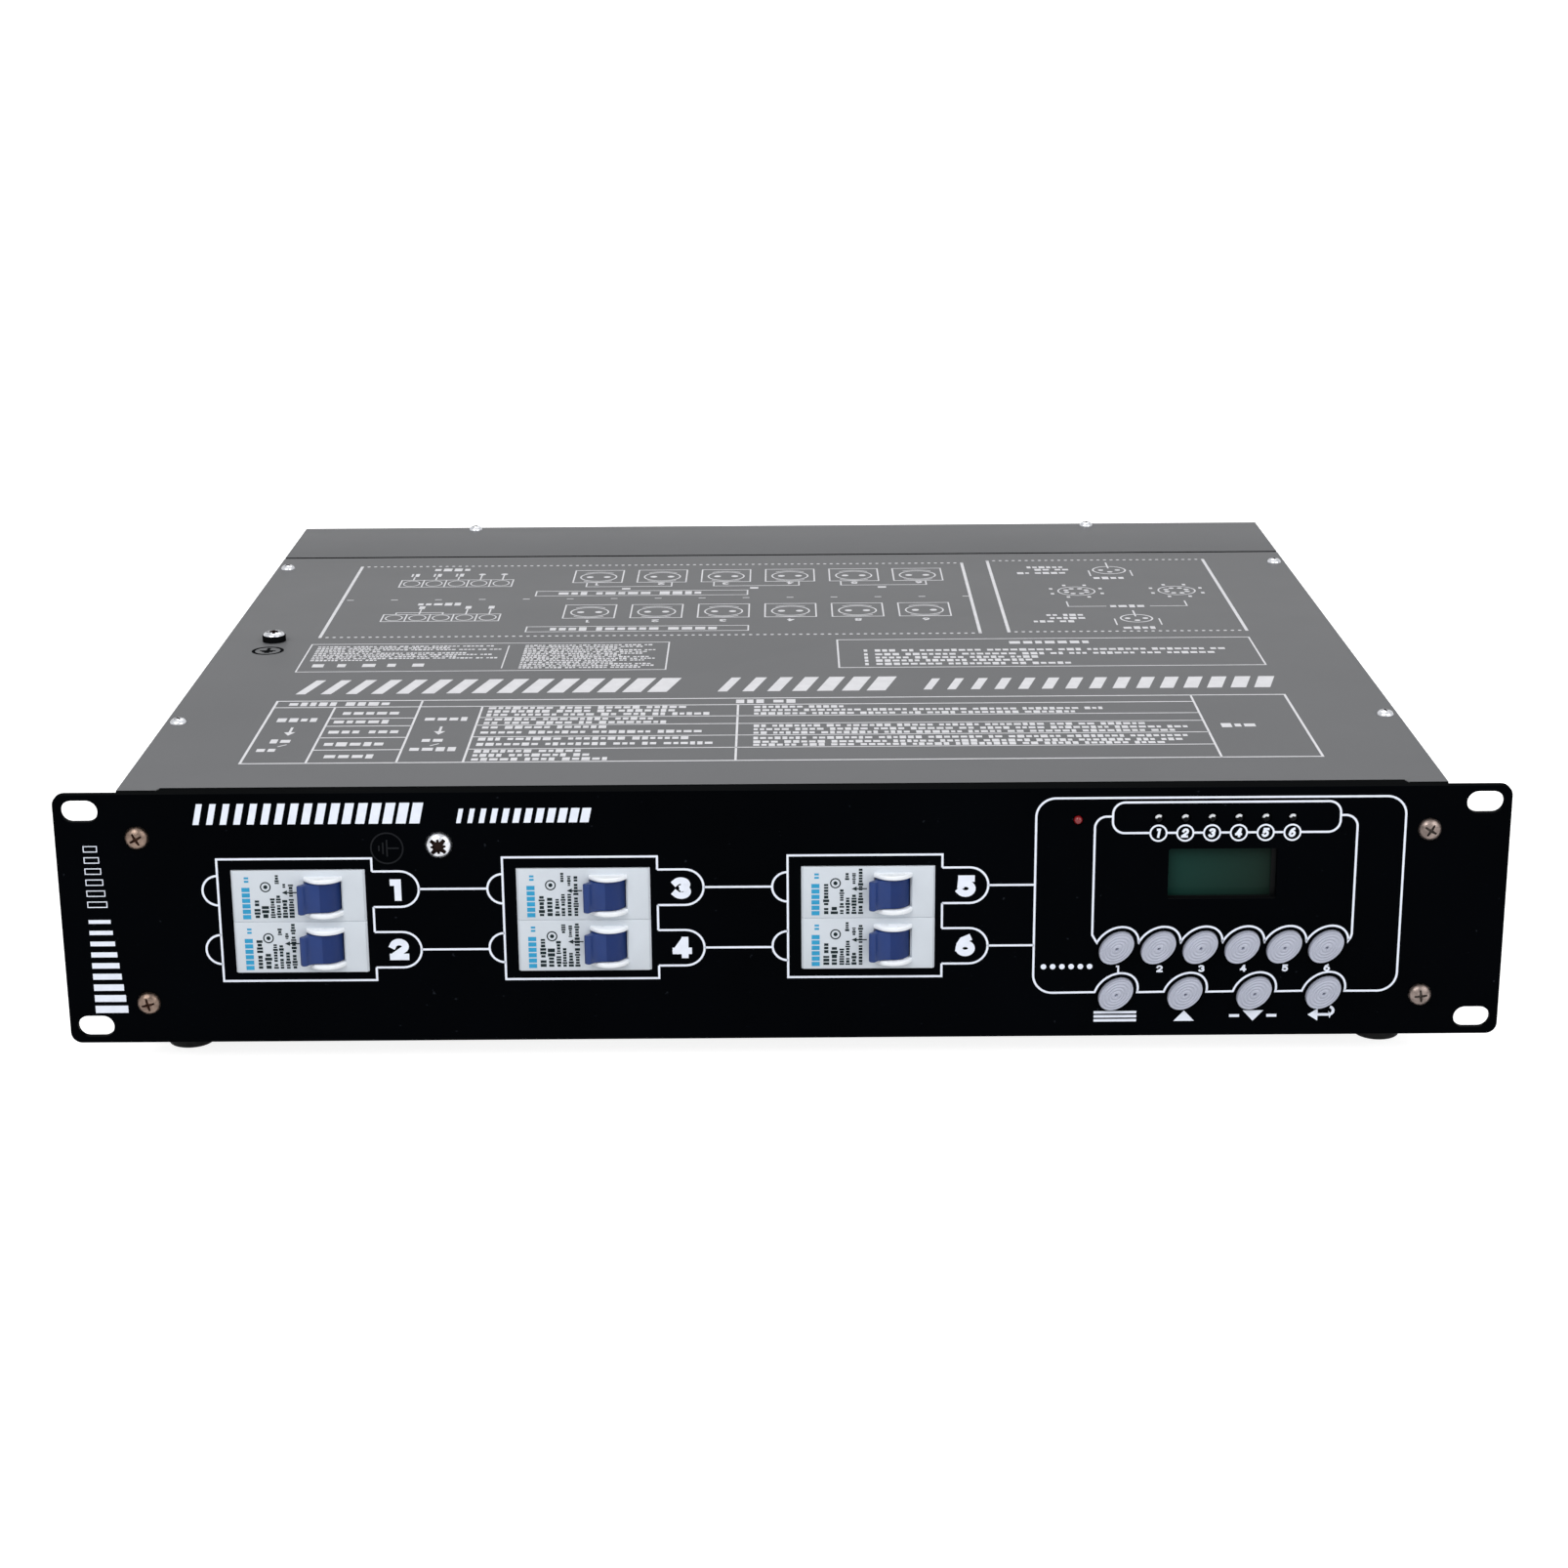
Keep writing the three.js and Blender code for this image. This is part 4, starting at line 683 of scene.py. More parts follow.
outletPlaces = [middleOf(f"outlet_{number}") for number in range(1, 7)]
signalPlaces = [middleOf("signal_input"), middleOf("signal_output")]
analogPlaces = [middleOf("analog_input_1"), middleOf("analog_input_2")]
glandPlace = middleOf("cable_gland")


def makeRearPanel():
    settings = {"flange": 14, "notch": 15, "notchDrop": 4, "outletHole": 21.3, "signalHole": 11.8,
                "analogHole": 8, "glandHole": 10, "toolHalf": 2}
    low, high = boxOf("rear_panel")
    wall = high.y - sheet / 2
    section = foldedOutline([
        (high.y - settings["flange"], high.z - sheet / 2), (wall, high.z - sheet / 2), (wall, low.z)],
        sheet, bendRadius)
    panel = addPlate([section], high.x - low.x, sheetEdge)
    moved(panel, x=low.x, turn=sideways)
    corners = []
    for sign in (-1, 1):
        nearX, farX = sorted((sign * (high.x - settings["notch"]), sign * (high.x + overrun)))
        corners.append(addBlock((nearX, high.y - settings["notch"], high.z - settings["notchDrop"]),
                                (farX, high.y - sheet, high.z + overrun)))
    cut(panel, joined(*corners))
    holes = [(settings["outletHole"], place) for place in outletPlaces]
    holes += [(settings["signalHole"], place) for place in signalPlaces]
    holes += [(settings["analogHole"], place) for place in analogPlaces]
    holes.append((settings["glandHole"], glandPlace))
    tools = []
    for radius, place in holes:
        tool = addRod(radius, -settings["toolHalf"], settings["toolHalf"], 64)
        tools.append(moved(tool, x=place.x, y=wall, z=place.z, turn=upright))
    cut(panel, joined(*tools))
    finishPiece(panel, "rear_sheet", greyPaint, replaces=["rear_panel"])


makeTray()
makeLid()
makeWiringCover()
makeRearPanel()
print("case made")


# Circuit breakers and their toggles

pivotX, pivotY = 8.3, 2.4  # of a toggle, from its breaker's middle and the panel's face
breakerFront = -0.6
toggleLean = 44  # degrees


def makeBreaker():
    # One moulding round its breaker's middle, with its nose a little proud of the panel
    settings = {"nose": 22.3, "chamfer": 0.7, "noseEnd": 14.9, "half": 40, "slope": 5,
                "shoulder": 18.4, "side": 23.4, "rear": 63.9, "rearChamfer": 2, "seat": 17.7,
                "seatY": 58.4, "hookY": 59.8, "hook": 16.3, "width": 18.02, "rounding": 0.16,
                "mouth": 6.4, "mouthDepth": 0.6, "drum": 6.1, "pocket": 5.15}
    nose, half, rear, chamfer = (settings[side] for side in ("nose", "half", "rear", "chamfer"))
    rim = [
        (nose - chamfer, breakerFront), (nose, breakerFront + chamfer), (nose, settings["noseEnd"]),
        (half - settings["slope"], settings["shoulder"]), (half, settings["side"]),
        (half, rear - settings["rearChamfer"]), (half - settings["rearChamfer"], rear),
        (settings["hook"], rear), (settings["hook"], settings["hookY"]),
        (settings["seat"], settings["hookY"]), (settings["seat"], settings["seatY"])]
    outline = rim + [(-x, y) for x, y in reversed(rim)]
    breaker = addPlate([outline], settings["width"], settings["rounding"], 2)
    moved(breaker, z=-settings["width"] / 2)
    mouth, pocket = settings["mouth"], settings["pocket"]
    cut(breaker, addBlock((pivotX - mouth, breakerFront - overrun, -pocket),
                          (pivotX + mouth, settings["mouthDepth"], pocket)))
    cut(breaker, moved(addRod(settings["drum"], -pocket, pocket, 72), x=pivotX, y=pivotY))
    return breaker


def makeCheeks():
    # Two half-round walls beside the drum, rising from the moulding's face. They take a lighter copy of the
    # breaker's white, painted light
    settings = {"radius": 7.1, "inner": 5.3, "outer": 6.9, "rounding": 0.45, "foot": 1.2,
                "toolLow": (-10, -10), "toolHigh": (30, 20, 10)}
    walls = []
    for sign in (-1, 1):
        low, high = sorted((sign * settings["inner"], sign * settings["outer"]))
        wall = addRod(settings["radius"], low, high, 96)
        pickFaces(wall, lambda centre, normal: abs(normal.z) > 0.9)
        bpy.ops.mesh.bevel(offset=settings["rounding"], segments=3, affect="EDGES")
        leaveEdit()
        walls.append(moved(wall, x=pivotX, y=pivotY))
    cheeks = joined(*walls)
    lowX, lowZ = settings["toolLow"]
    return cut(cheeks, addBlock((lowX, settings["foot"], lowZ), settings["toolHigh"]))


def makeToggle():
    # Side outline of a drum and a lever with hollowed faces and a rounded tip. The drum's faces are marked
    # for a darker copy of the toggle's blue, painted shade
    settings = {"drum": 5.8, "root": 35, "tip": 1.3, "length": 11.1, "rounding": 1.2,
                "hollow": 0.9, "width": 10.0, "edge": 0.3, "steps": 12, "shadeFrom": 0.6}
    drum, tip, rounding = settings["drum"], settings["tip"], settings["rounding"]
    points = arc(0, 0, drum, settings["root"] - 90, 270 - settings["root"], 44)
    rootX, rootY = points[-1]
    bend = settings["length"] - rounding
    side = []
    for step in range(1, settings["steps"] + 1):
        part = step / settings["steps"]
        x = rootX + (-tip - rootX) * part + settings["hollow"] * math.sin(math.pi * part)
        side.append((x, rootY + (-bend - rootY) * part))
    side += arc(-(tip - rounding), -bend, rounding, 180, 270, 8)[1:]
    points += side + [(-x, y) for x, y in reversed(side)]
    toggle = addPlate([points], settings["width"], settings["edge"], 2)
    moved(toggle, z=-settings["width"] / 2)
    return markFaces(toggle, lambda centre, normal: centre.y > rootY
                     and math.hypot(centre.x, centre.y) > drum - settings["shadeFrom"])


def makeBreakers():
    breaker, cheeks, toggle = makeBreaker(), makeCheeks(), makeToggle()
    lean = Matrix.Rotation(-math.radians(toggleLean), 4, "Z")
    for number in range(1, 7):
        place = middleOf(f"breaker_{number}")
        spot = (place.x, 0, place.z)
        finishPiece(copyOf(breaker), f"breaker_moulding_{number}", breakerWhite,
                    replaces=[f"breaker_{number}"], place=spot)
        finishPiece(copyOf(cheeks), f"breaker_cheeks_{number}", breakerWhitePaintedLight,
                    place=spot)
        finishPiece(copyOf(toggle), f"toggle_lever_{number}", (toggleBlue, toggleBluePaintedShade),
                    body=f"breaker_toggle_{number}",
                    replaces=[f"breaker_toggle_{number}"],
                    place=(place.x + pivotX, pivotY, place.z), turn=lean)
    removeAll(breaker, cheeks, toggle)


makeBreakers()
print("breakers made")


# Buttons, lamps and display

def makeButtons():
    # A cap spun with shallow rings and a dimple, then squeezed to an oval and tilted
    settings = {"rim": 6.1, "proud": 2.4, "crown": 0.3, "dimple": 0.75, "dimpleDepth": 1.5,
                "ring": 0.11, "ringPitch": 1.2, "ringsFrom": 1.4, "faceSteps": 60, "rounding": 0.4,
                "rimAngles": (15, 35, 55, 75, 90), "rimY": -1.7, "flange": 7.3, "flangeY": (2.8, 4),
                "stem": 2.2}
    rim, rings, rounding = settings["rim"], settings["ringsFrom"], settings["rounding"]
    profile = []
    for step in range(settings["faceSteps"] + 1):
        radius = rim * step / settings["faceSteps"]
        depth = -settings["proud"] + settings["crown"] * (radius / rim) ** 2
        if radius < settings["dimple"]:
            depth += settings["dimpleDepth"] * (1 - radius / settings["dimple"])
        elif radius > rings:
            depth += settings["ring"] * (1 - math.cos(fullTurn * (radius - rings) / settings["ringPitch"]))
        profile.append((radius, depth))
    for angle in settings["rimAngles"]:
        profile.append((rim + rounding * math.sin(math.radians(angle)),
                        settings["rimY"] - rounding * math.cos(math.radians(angle))))
    front, back = settings["flangeY"]
    rear = boxOf(buttonNames[0])[1].y
    profile += [(buttonMajor, front), (settings["flange"], front), (settings["flange"], back),
                (settings["stem"], back), (settings["stem"], rear), (0, rear)]
    cap = addTurned(profile, 72)
    shape = Matrix.Rotation(-tilt, 4, "Y") @ Matrix.Diagonal((1, 1, buttonMinor / buttonMajor, 1))
    for name in buttonNames:
        place = middleOf(name)
        finishPiece(copyOf(cap), name.replace("button", "key"), buttonGrey, body=name,
                    replaces=[name], place=(place.x, 0, place.z),
                    turn=shape @ layDown, smooth=50)
    removeAll(cap)


def makeLamps():
    # A small dome with a collar behind the panel, and a bright patch on the upper part of its dome that is
    # a painted highlight
    settings = {"radius": 1.5, "domeY": 0.5, "neckY": 2.7, "collar": 2.1, "rear": 13.8,
                "paintedHighlightReach": (0.75, 1.3), "paintedHighlightZ": 0.3, "paintedHighlightY": 0.2, "paintedHighlightShare": 0.75}
    radius, collar = settings["radius"], settings["collar"]
    profile = [(radius * math.sin(math.radians(angle)),
                settings["domeY"] - radius * math.cos(math.radians(angle)))
               for angle in range(0, 91, 9)]
    profile += [(radius, settings["neckY"]), (collar, settings["neckY"]), (collar, settings["rear"]),
                (0, settings["rear"])]
    lens = addTurned(profile, 40)

    def isPaintedHighlight(centre, normal):
        reach = math.hypot(centre.x, centre.y)
        near, far = settings["paintedHighlightReach"]
        return (near < reach < far and centre.z < settings["paintedHighlightZ"]
                and -centre.y > settings["paintedHighlightY"] and centre.x < settings["paintedHighlightShare"] * reach)

    markFaces(lens, isPaintedHighlight)
    for name in lampNames:
        place = middleOf(name)
        material, slot = (clearLens, lensPaintedHighlight), "clear_lens"
        if name == "power_led":
            material, slot = redLens, "red_lens"
        finishPiece(copyOf(lens), name.replace("led", "lens"), material, replaces=[name],
                    place=(place.x, 0, place.z), turn=layDown, smooth=60)
    removeAll(lens)


def makeDisplay():
    settings = {"bezel": 0.6, "bezelCorner": 0.6, "bezelEdge": 0.15, "windowX": (-17.6, 16.6),
                "windowCorner": 0.4, "border": 1, "gap": 0.5, "inset": 0.8, "raised": 0.4,
                "rounding": 0.15}
    bezelDepth, border, gap = settings["bezel"], settings["border"], settings["gap"]
    low, high = boxOf("display_module")
    halfX, halfZ = (high.x - low.x) / 2, (high.z - low.z) / 2
    rim = roundedRect(*around(0, 0, halfX, halfZ), settings["bezelCorner"])
    window = roundedRect(*settings["windowX"], -windowLow, windowHigh, settings["windowCorner"])
    bezel = addPlate([rim, window], bezelDepth, settings["bezelEdge"])
    finishPiece(bezel, "display_bezel", displayFrame,
                place=(displayPlace.x, low.y + bezelDepth, displayPlace.z), turn=upright)
    glass = addBlock((border - halfX, 0, border - halfZ),
                     (halfX - border, high.y - low.y - bezelDepth - gap, halfZ - border))
    pickFaces(glass, lambda centre, normal: normal.y < -0.9)
    bpy.ops.mesh.inset(thickness=settings["inset"])
    pushFaces((0, -settings["raised"], 0))
    leaveEdit()
    roundEdges(glass, settings["rounding"])
    finishPiece(glass, "display_pane", displayGlass, replaces=["display_module"],
                place=(displayPlace.x, low.y + bezelDepth + gap, displayPlace.z))


makeButtons()
makeLamps()
makeDisplay()
print("controls made")


# Screws: cross-recessed pan heads, copied

def makeHead(arm, reach):
    # A pan head with a recess: a star whose outline is one arm, turned four times. Faces in the recess are
    # marked for a darker finish, painted shade
    settings = {"profile": ((0, 2.1), (1.2, 2.05), (2.2, 1.75), (2.95, 1.2), (3.35, 0.6), (3.5, 0.0),
                            (3.5, -0.1), (0, -0.1)),
                "recess": 0.3, "toolDepth": 3, "rounding": 0.06, "marked": (0.1, 1.7)}
    head = addTurned(settings["profile"], 48)
    star = []
    for angle in (0, 90, 180, 270):
        turn = Matrix.Rotation(math.radians(angle), 2)
        star += [tuple(turn @ Vector(corner)) for corner in arm]
    cut(head, moved(addPlate([star], settings["toolDepth"]), z=settings["recess"]))
    roundEdges(head, settings["rounding"], 1, 40)
    low, high = settings["marked"]
    return markFaces(head, lambda centre, normal: math.hypot(centre.x, centre.y) < reach
                     and low < centre.z < high)


def screwSpots():
    # Kind, place, turn, size against the modelled head, and finish
    settings = {"panelX": ((-214.0, 1.15, copperyNickel), (214.5, 1.12, dullNickel)),
                "panelZ": (28.9, -29.7), "panelEarth": (-114, 0, 25.8), "panelEarthSize": 1.32,
                "lid": ((-216, 85.7), (216, 85.7), (-216, 329.7), (216, 329.7), (-141.5, 408),
                        (141.5, 408)),
                "lidEarth": (-201, 202.7), "lidEarthUp": 2.5, "lidEarthSize": 1.22,
                "lidEarthFlat": 0.6, "washer": (4.6, 0.01, 2.6), "washerEdge": 0.2, "rear": (214, 34),
                "sideY": (20, 120, 300, 392), "sideZ": -30, "plain": 0.86, "face": 2.6,
                "analogFace": 2, "outlet": (19.6, 19.6, 0.5), "signal": (9.9, 12.3, 0.42),
                "analog": (11.2, 0, 0.45)}
    lidTop = boxOf("top_cover")[1].z
    rear = boxOf("rear_panel")[1].y
    sideX = boxOf("chassis_tray")[1].x
    plain = settings["plain"]
    spots = []
    for x, size, material in settings["panelX"]:
        for z in settings["panelZ"]:
            spots.append(("panel", (x, 0, z), upright, size, material))
    spots.append(("panel_earth", settings["panelEarth"], upright, settings["panelEarthSize"], brightZinc))
    for x, y in settings["lid"]:
        spots.append(("lid", (x, y, lidTop), still, plain, brightZinc))
    x, y = settings["lidEarth"]
    flattened = Matrix.Diagonal((1, 1, settings["lidEarthFlat"], 1))
    spots.append(("lid_earth", (x, y, lidTop + settings["lidEarthUp"]), flattened,
                  settings["lidEarthSize"], brightZinc))
    # A washer under the earth screw's head, in the flat black: painted shade for the head's shaded near
    # side
    washer = roundEdges(addRod(*settings["washer"]), settings["washerEdge"])
    finishPiece(washer, "lid_earth_washer", blackPaintedLightAndShade, place=(x, y, lidTop))
    rearX, rearZ = settings["rear"]
    for x in (-rearX, rearX):
        for z in (-rearZ, rearZ):
            spots.append(("rear", (x, rear, z), fromBehind, plain, brightZinc))
    for sign in (-1, 1):
        for y in settings["sideY"]:
            turn = sideways if sign > 0 else Matrix.Rotation(math.pi, 4, "Z") @ sideways
            spots.append(("side", (sign * sideX, y, settings["sideZ"]), turn, plain, brightZinc))
    for kind, places, up in (("outlet", outletPlaces, settings["face"]),
                             ("signal", signalPlaces, settings["face"]),
                             ("analog", analogPlaces, settings["analogFace"])):
        reachX, reachZ, size = settings[kind]
        for place in places:
            for sign in (-1, 1):
                spot = (place.x + sign * reachX, rear + up, place.z + sign * reachZ)
                spots.append((kind, spot, fromBehind, size, brightZinc))
    return spots


def makeScrews():
    settings = {"arm": ((1.95, -0.26), (1.95, 0.26), (0.44, 0.44)), "reach": 2.15,
                "earthArm": ((2.4, -0.4), (2.4, 0.4), (1.2, 0.6), (1.5, 1.25), (1.25, 1.5), (0.6, 1.2)),
                "earthReach": 2.45, "seed": 7}
    head = makeHead(settings["arm"], settings["reach"])
    earthHead = makeHead(settings["earthArm"], settings["earthReach"])
    recessShades = {copperyNickel: recessPaintedShadeBrown, dullNickel: recessPaintedShadeGrey}
    generator = random.Random(settings["seed"])
    for index, (kind, place, turn, size, material) in enumerate(screwSpots()):
        spin = Matrix.Rotation(generator.uniform(0, math.pi / 2), 4, "Z")
        shape = earthHead if "earth" in kind else head
        finishPiece(copyOf(shape), f"{kind}_screw_{index + 1}",
                    (material, recessShades.get(material, recessPaintedShade)), place=place,
                    turn=turn @ spin @ Matrix.Scale(size, 4), smooth=40)
    removeAll(head, earthHead)


makeScrews()
print("screws made")


# Rear connectors, each modelled looking at the rear panel, with z out of its face

seatGap = 0.2  # between a flange and the panel
sunk = 0.2  # of a piece into the one that carries it
pinRoundShare = 0.35  # rounding of a pin's ends, against its radius


def addPins(radius, low, high, circle, angles, steps=24):
    pins = []
    for angle in angles:
        pin = addRod(radius, low, high, steps)
        roundEdges(pin, radius * pinRoundShare, 2)
        pins.append(moved(pin, x=circle * math.cos(math.radians(angle)),
                          y=circle * math.sin(math.radians(angle))))
    return pins


def makeOutlets():
    # A square flange round a deep cup, with pin holes, guide ribs and sprung earth clips
    settings = {"half": 23.5, "corner": 4, "mouth": 19.5, "thick": 2.6, "edge": 0.4,
                "cup": ((19.4, 2.2), (21.1, 2.2), (21.1, -28), (19.5, -29.8), (0, -29.8), (0, -18),
                        (19.4, -18), (19.4, 2.2)),
                "floor": 19.45, "floorThick": 3.3, "floorZ": -18.05, "floorEdge": 0.25,
                "pinHole": 2.5, "pinX": 9.5, "rib": (17.3, 19.9), "ribHalf": 2.25,
                "ribZ": (-15, 2.7), "ribEdge": 0.4, "clipWidth": 4, "clipEdge": 0.12,
                "clip": ((-15, 19.4), (-15, 18.6), (-7, 17.0), (0.2, 18.4), (0.2, 19.4), (-7, 18.0))}
    flange = addPlate([roundedRect(*around(0, 0, settings["half"], settings["half"]), settings["corner"]),
                       roundPoints(settings["mouth"], None, 72)], settings["thick"], settings["edge"], 2)
    moved(flange, z=seatGap)
    cup = addTurned(settings["cup"], 72)
    holes = [roundPoints(settings["pinHole"], None, 24, sign * settings["pinX"]) for sign in (-1, 1)]
    floor = addPlate([roundPoints(settings["floor"], None, 72), *holes], settings["floorThick"],
                     settings["floorEdge"])
    moved(floor, z=settings["floorZ"])
    ribs, clips = [], []
    inner, outer = settings["rib"]
    low, high = settings["ribZ"]
    acrossClip = Matrix(((0, 0, 1, -settings["clipWidth"] / 2), (0, 1, 0, 0), (1, 0, 0, 0), (0, 0, 0, 1)))
    for sign in (-1, 1):
        nearX, farX = sorted((sign * inner, sign * outer))
        rib = addBlock((nearX, -settings["ribHalf"], low), (farX, settings["ribHalf"], high))
        ribs.append(roundEdges(rib, settings["ribEdge"]))
    outlet = joined(flange, cup, floor, *ribs)
    for sign in (-1, 1):
        outline = [(depth, sign * height) for depth, height in settings["clip"]]
        clip = addPlate([outline], settings["clipWidth"], settings["clipEdge"])
        clips.append(moved(clip, turn=acrossClip))
    clip = joined(*clips)
    rear = boxOf("rear_panel")[1].y
    for index, place in enumerate(outletPlaces):
        spot = (place.x, rear, place.z)
        finishPiece(copyOf(outlet), f"outlet_moulding_{index + 1}", blackPlastic,
                    replaces=[f"outlet_{index + 1}"], place=spot, turn=fromBehind)
        finishPiece(tidyMesh(copyOf(clip)), f"earth_clips_{index + 1}", contactBrass,
                    place=spot, turn=fromBehind)
    removeAll(outlet, clip)


def makeSignals():
    # Two round connectors: the input has three pins, the output three holes and a latch
    settings = {"halfWide": 13, "halfHigh": 15.5, "thick": 2.4, "corner": 3, "mouth": 9.5,
                "edge": 0.35, "barrel": 11.6, "barrelFront": 2.3, "barrelRear": -18, "floor": -12.4,
                "fit": 0.05, "pinCircle": 4.2, "pinAngles": (0, 180, 270), "pin": 1.2,
                "pinLength": 10, "insert": 0.9, "core": 7.4, "coreFront": 2.4, "hole": 1.3,
                "holeZ": (-8, 3), "insertEdge": 0.15, "coreEdge": 0.2,
                "keyLow": (-3.3, 6.0, -7), "keyHigh": (3.3, 11, 3),
                "stem": ((-3, 7.7, -4.4), (3, 10.3, 5.0)), "stemEdge": 0.5,
                "head": ((-4, 7.7, 4.3), (4, 14.1, 5.9)), "headEdge": 0.6}
    mouth, floor, front = settings["mouth"], settings["floor"], settings["barrelFront"]
    circle, angles = settings["pinCircle"], settings["pinAngles"]
    inner = mouth + settings["fit"]
    rear = boxOf("rear_panel")[1].y
    for place, kind in zip(signalPlaces, ("input", "output")):
        rim = roundedRect(*around(0, 0, settings["halfWide"], settings["halfHigh"]), settings["corner"])
        flange = addPlate([rim, roundPoints(mouth, None, 64)], settings["thick"], settings["edge"], 2)
        moved(flange, z=seatGap)
        barrel = addTurned([
            (inner, front), (settings["barrel"], front), (settings["barrel"], settings["barrelRear"]),
            (0, settings["barrelRear"]), (0, floor), (inner, floor), (inner, front)], 64)
        spot = (place.x, rear, place.z)
        finishPiece(joined(flange, barrel), f"signal_{kind}_shell", nickel,
                    replaces=[f"signal_{kind}"], place=spot, turn=fromBehind)
        if kind == "input":
            pins = addPins(settings["pin"], floor - sunk, floor + settings["pinLength"], circle, angles)
            finishPiece(joined(*pins), "signal_input_pins", contactBrass, place=spot, turn=fromBehind)
            disc = addRod(mouth, floor - sunk / 2, floor + settings["insert"], 64)
            roundEdges(disc, settings["insertEdge"])
            finishPiece(disc, "signal_input_insert", blackPlastic, place=spot, turn=fromBehind)
        else:
            core = addRod(settings["core"], floor + sunk / 2, settings["coreFront"], 64)
            for pin in addPins(settings["hole"], *settings["holeZ"], circle, angles, 20):
                cut(core, pin)
            cut(core, addBlock(settings["keyLow"], settings["keyHigh"]))
            roundEdges(core, settings["coreEdge"], 2, 60)
            finishPiece(core, "signal_output_insert", blackPlastic, place=spot, turn=fromBehind)
    stem = roundEdges(addBlock(*settings["stem"]), settings["stemEdge"], 3)
    head = roundEdges(addBlock(*settings["head"]), settings["headEdge"], 3)
    finishPiece(joined(stem, head), "signal_latch_lever", nickel, body="signal_latch",
                replaces=["signal_latch"], place=spot, turn=fromBehind)


def makeAnalogInputs():
    # A flange and a shell round a core with seven holes in a ring and one in the middle
    settings = {"halfWide": 14, "halfHigh": 10, "corner": 3, "mouth": 6.9, "thick": 1.8,
                "edge": 0.25, "shell": ((6.95, 1.9), (7.8, 1.9), (7.8, -12), (0, -12), (0, -6),
                                        (6.95, -6), (6.95, 1.9)),
                "core": 6.0, "coreZ": (-6.1, 1.9), "coreEdge": 0.15, "hole": 0.8, "holeZ": (-4, 2.5),
                "circle": 3.9, "holes": 7, "firstAngle": -45, "pitchAngle": 45}
    rear = boxOf("rear_panel")[1].y
    angles = [settings["firstAngle"] + settings["pitchAngle"] * index for index in range(settings["holes"])]
    for index, place in enumerate(analogPlaces):
        rim = roundedRect(*around(0, 0, settings["halfWide"], settings["halfHigh"]), settings["corner"])
        flange = addPlate([rim, roundPoints(settings["mouth"], None, 56)], settings["thick"],
                          settings["edge"], 2)
        moved(flange, z=seatGap)
        shell = addTurned(settings["shell"], 56)
        core = addRod(settings["core"], *settings["coreZ"], 56)
        holes = addPins(settings["hole"], *settings["holeZ"], settings["circle"], angles, 16)
        for hole in holes + addPins(settings["hole"], *settings["holeZ"], 0, (0,), 16):
            cut(core, hole)
        spot = (place.x, rear, place.z)
        finishPiece(joined(flange, shell), f"analog_shell_{index + 1}", nickel,
                    replaces=[f"analog_input_{index + 1}"], place=spot, turn=fromBehind)
        finishPiece(roundEdges(core, settings["coreEdge"], 2, 60), f"analog_insert_{index + 1}",
                    blackPlastic, place=spot, turn=fromBehind)


def makeGland():
    # A hexagon and a fluted cap round the bore for the mains lead
    settings = {"hexagon": (15, 0.2, 8.2), "hexagonEdge": 0.7, "fluteSteps": 144, "cap": 12.75,
                "flutes": 18, "fluteDepth": 0.42, "capZ": 8.0, "capLength": 7.6, "edge": 0.4,
                "dome": ((0, 14.8), (12.3, 14.8), (12.3, 15.4), (12.0, 16.9), (11.4, 18.6),
                         (10.9, 20.4), (10.3, 21.8), (9.6, 22.2), (0, 22.2)),
                "thread": (9.8, -9, 0.6), "bore": (7.5, -12, 25), "seal": (7.6, 5.4),
                "sealLength": 6, "sealY": 15.4}
    rear = boxOf("rear_panel")[1].y
    hexagon = roundEdges(addRod(*settings["hexagon"], 6), settings["hexagonEdge"], 3)
    outline = []
    for step in range(settings["fluteSteps"]):
        angle = fullTurn * step / settings["fluteSteps"]
        radius = settings["cap"] + settings["fluteDepth"] * math.cos(settings["flutes"] * angle)
        outline.append((radius * math.cos(angle), radius * math.sin(angle)))
    cap = moved(addPlate([outline], settings["capLength"], settings["edge"], 2), z=settings["capZ"])
    dome = addTurned(settings["dome"], 64)
    thread = roundEdges(addRod(*settings["thread"]), settings["edge"])
    pieces = [cut(piece, addRod(*settings["bore"])) for piece in (hexagon, cap, dome, thread)]
    finishPiece(joined(*pieces), "gland_body", blackPlastic,
                replaces=["cable_gland"], place=(glandPlace.x, rear, glandPlace.z), turn=fromBehind)
    rings = [roundPoints(radius) for radius in settings["seal"]]
    seal = addPlate(rings, settings["sealLength"], settings["edge"], 2)
    finishPiece(seal, "gland_seal", rubber, turn=fromBehind,
                place=(glandPlace.x, rear + settings["sealY"], glandPlace.z))


makeOutlets()
makeSignals()
makeAnalogInputs()
makeGland()
print("rear connectors made")


# Feet: tapered rubber with a sunk screw

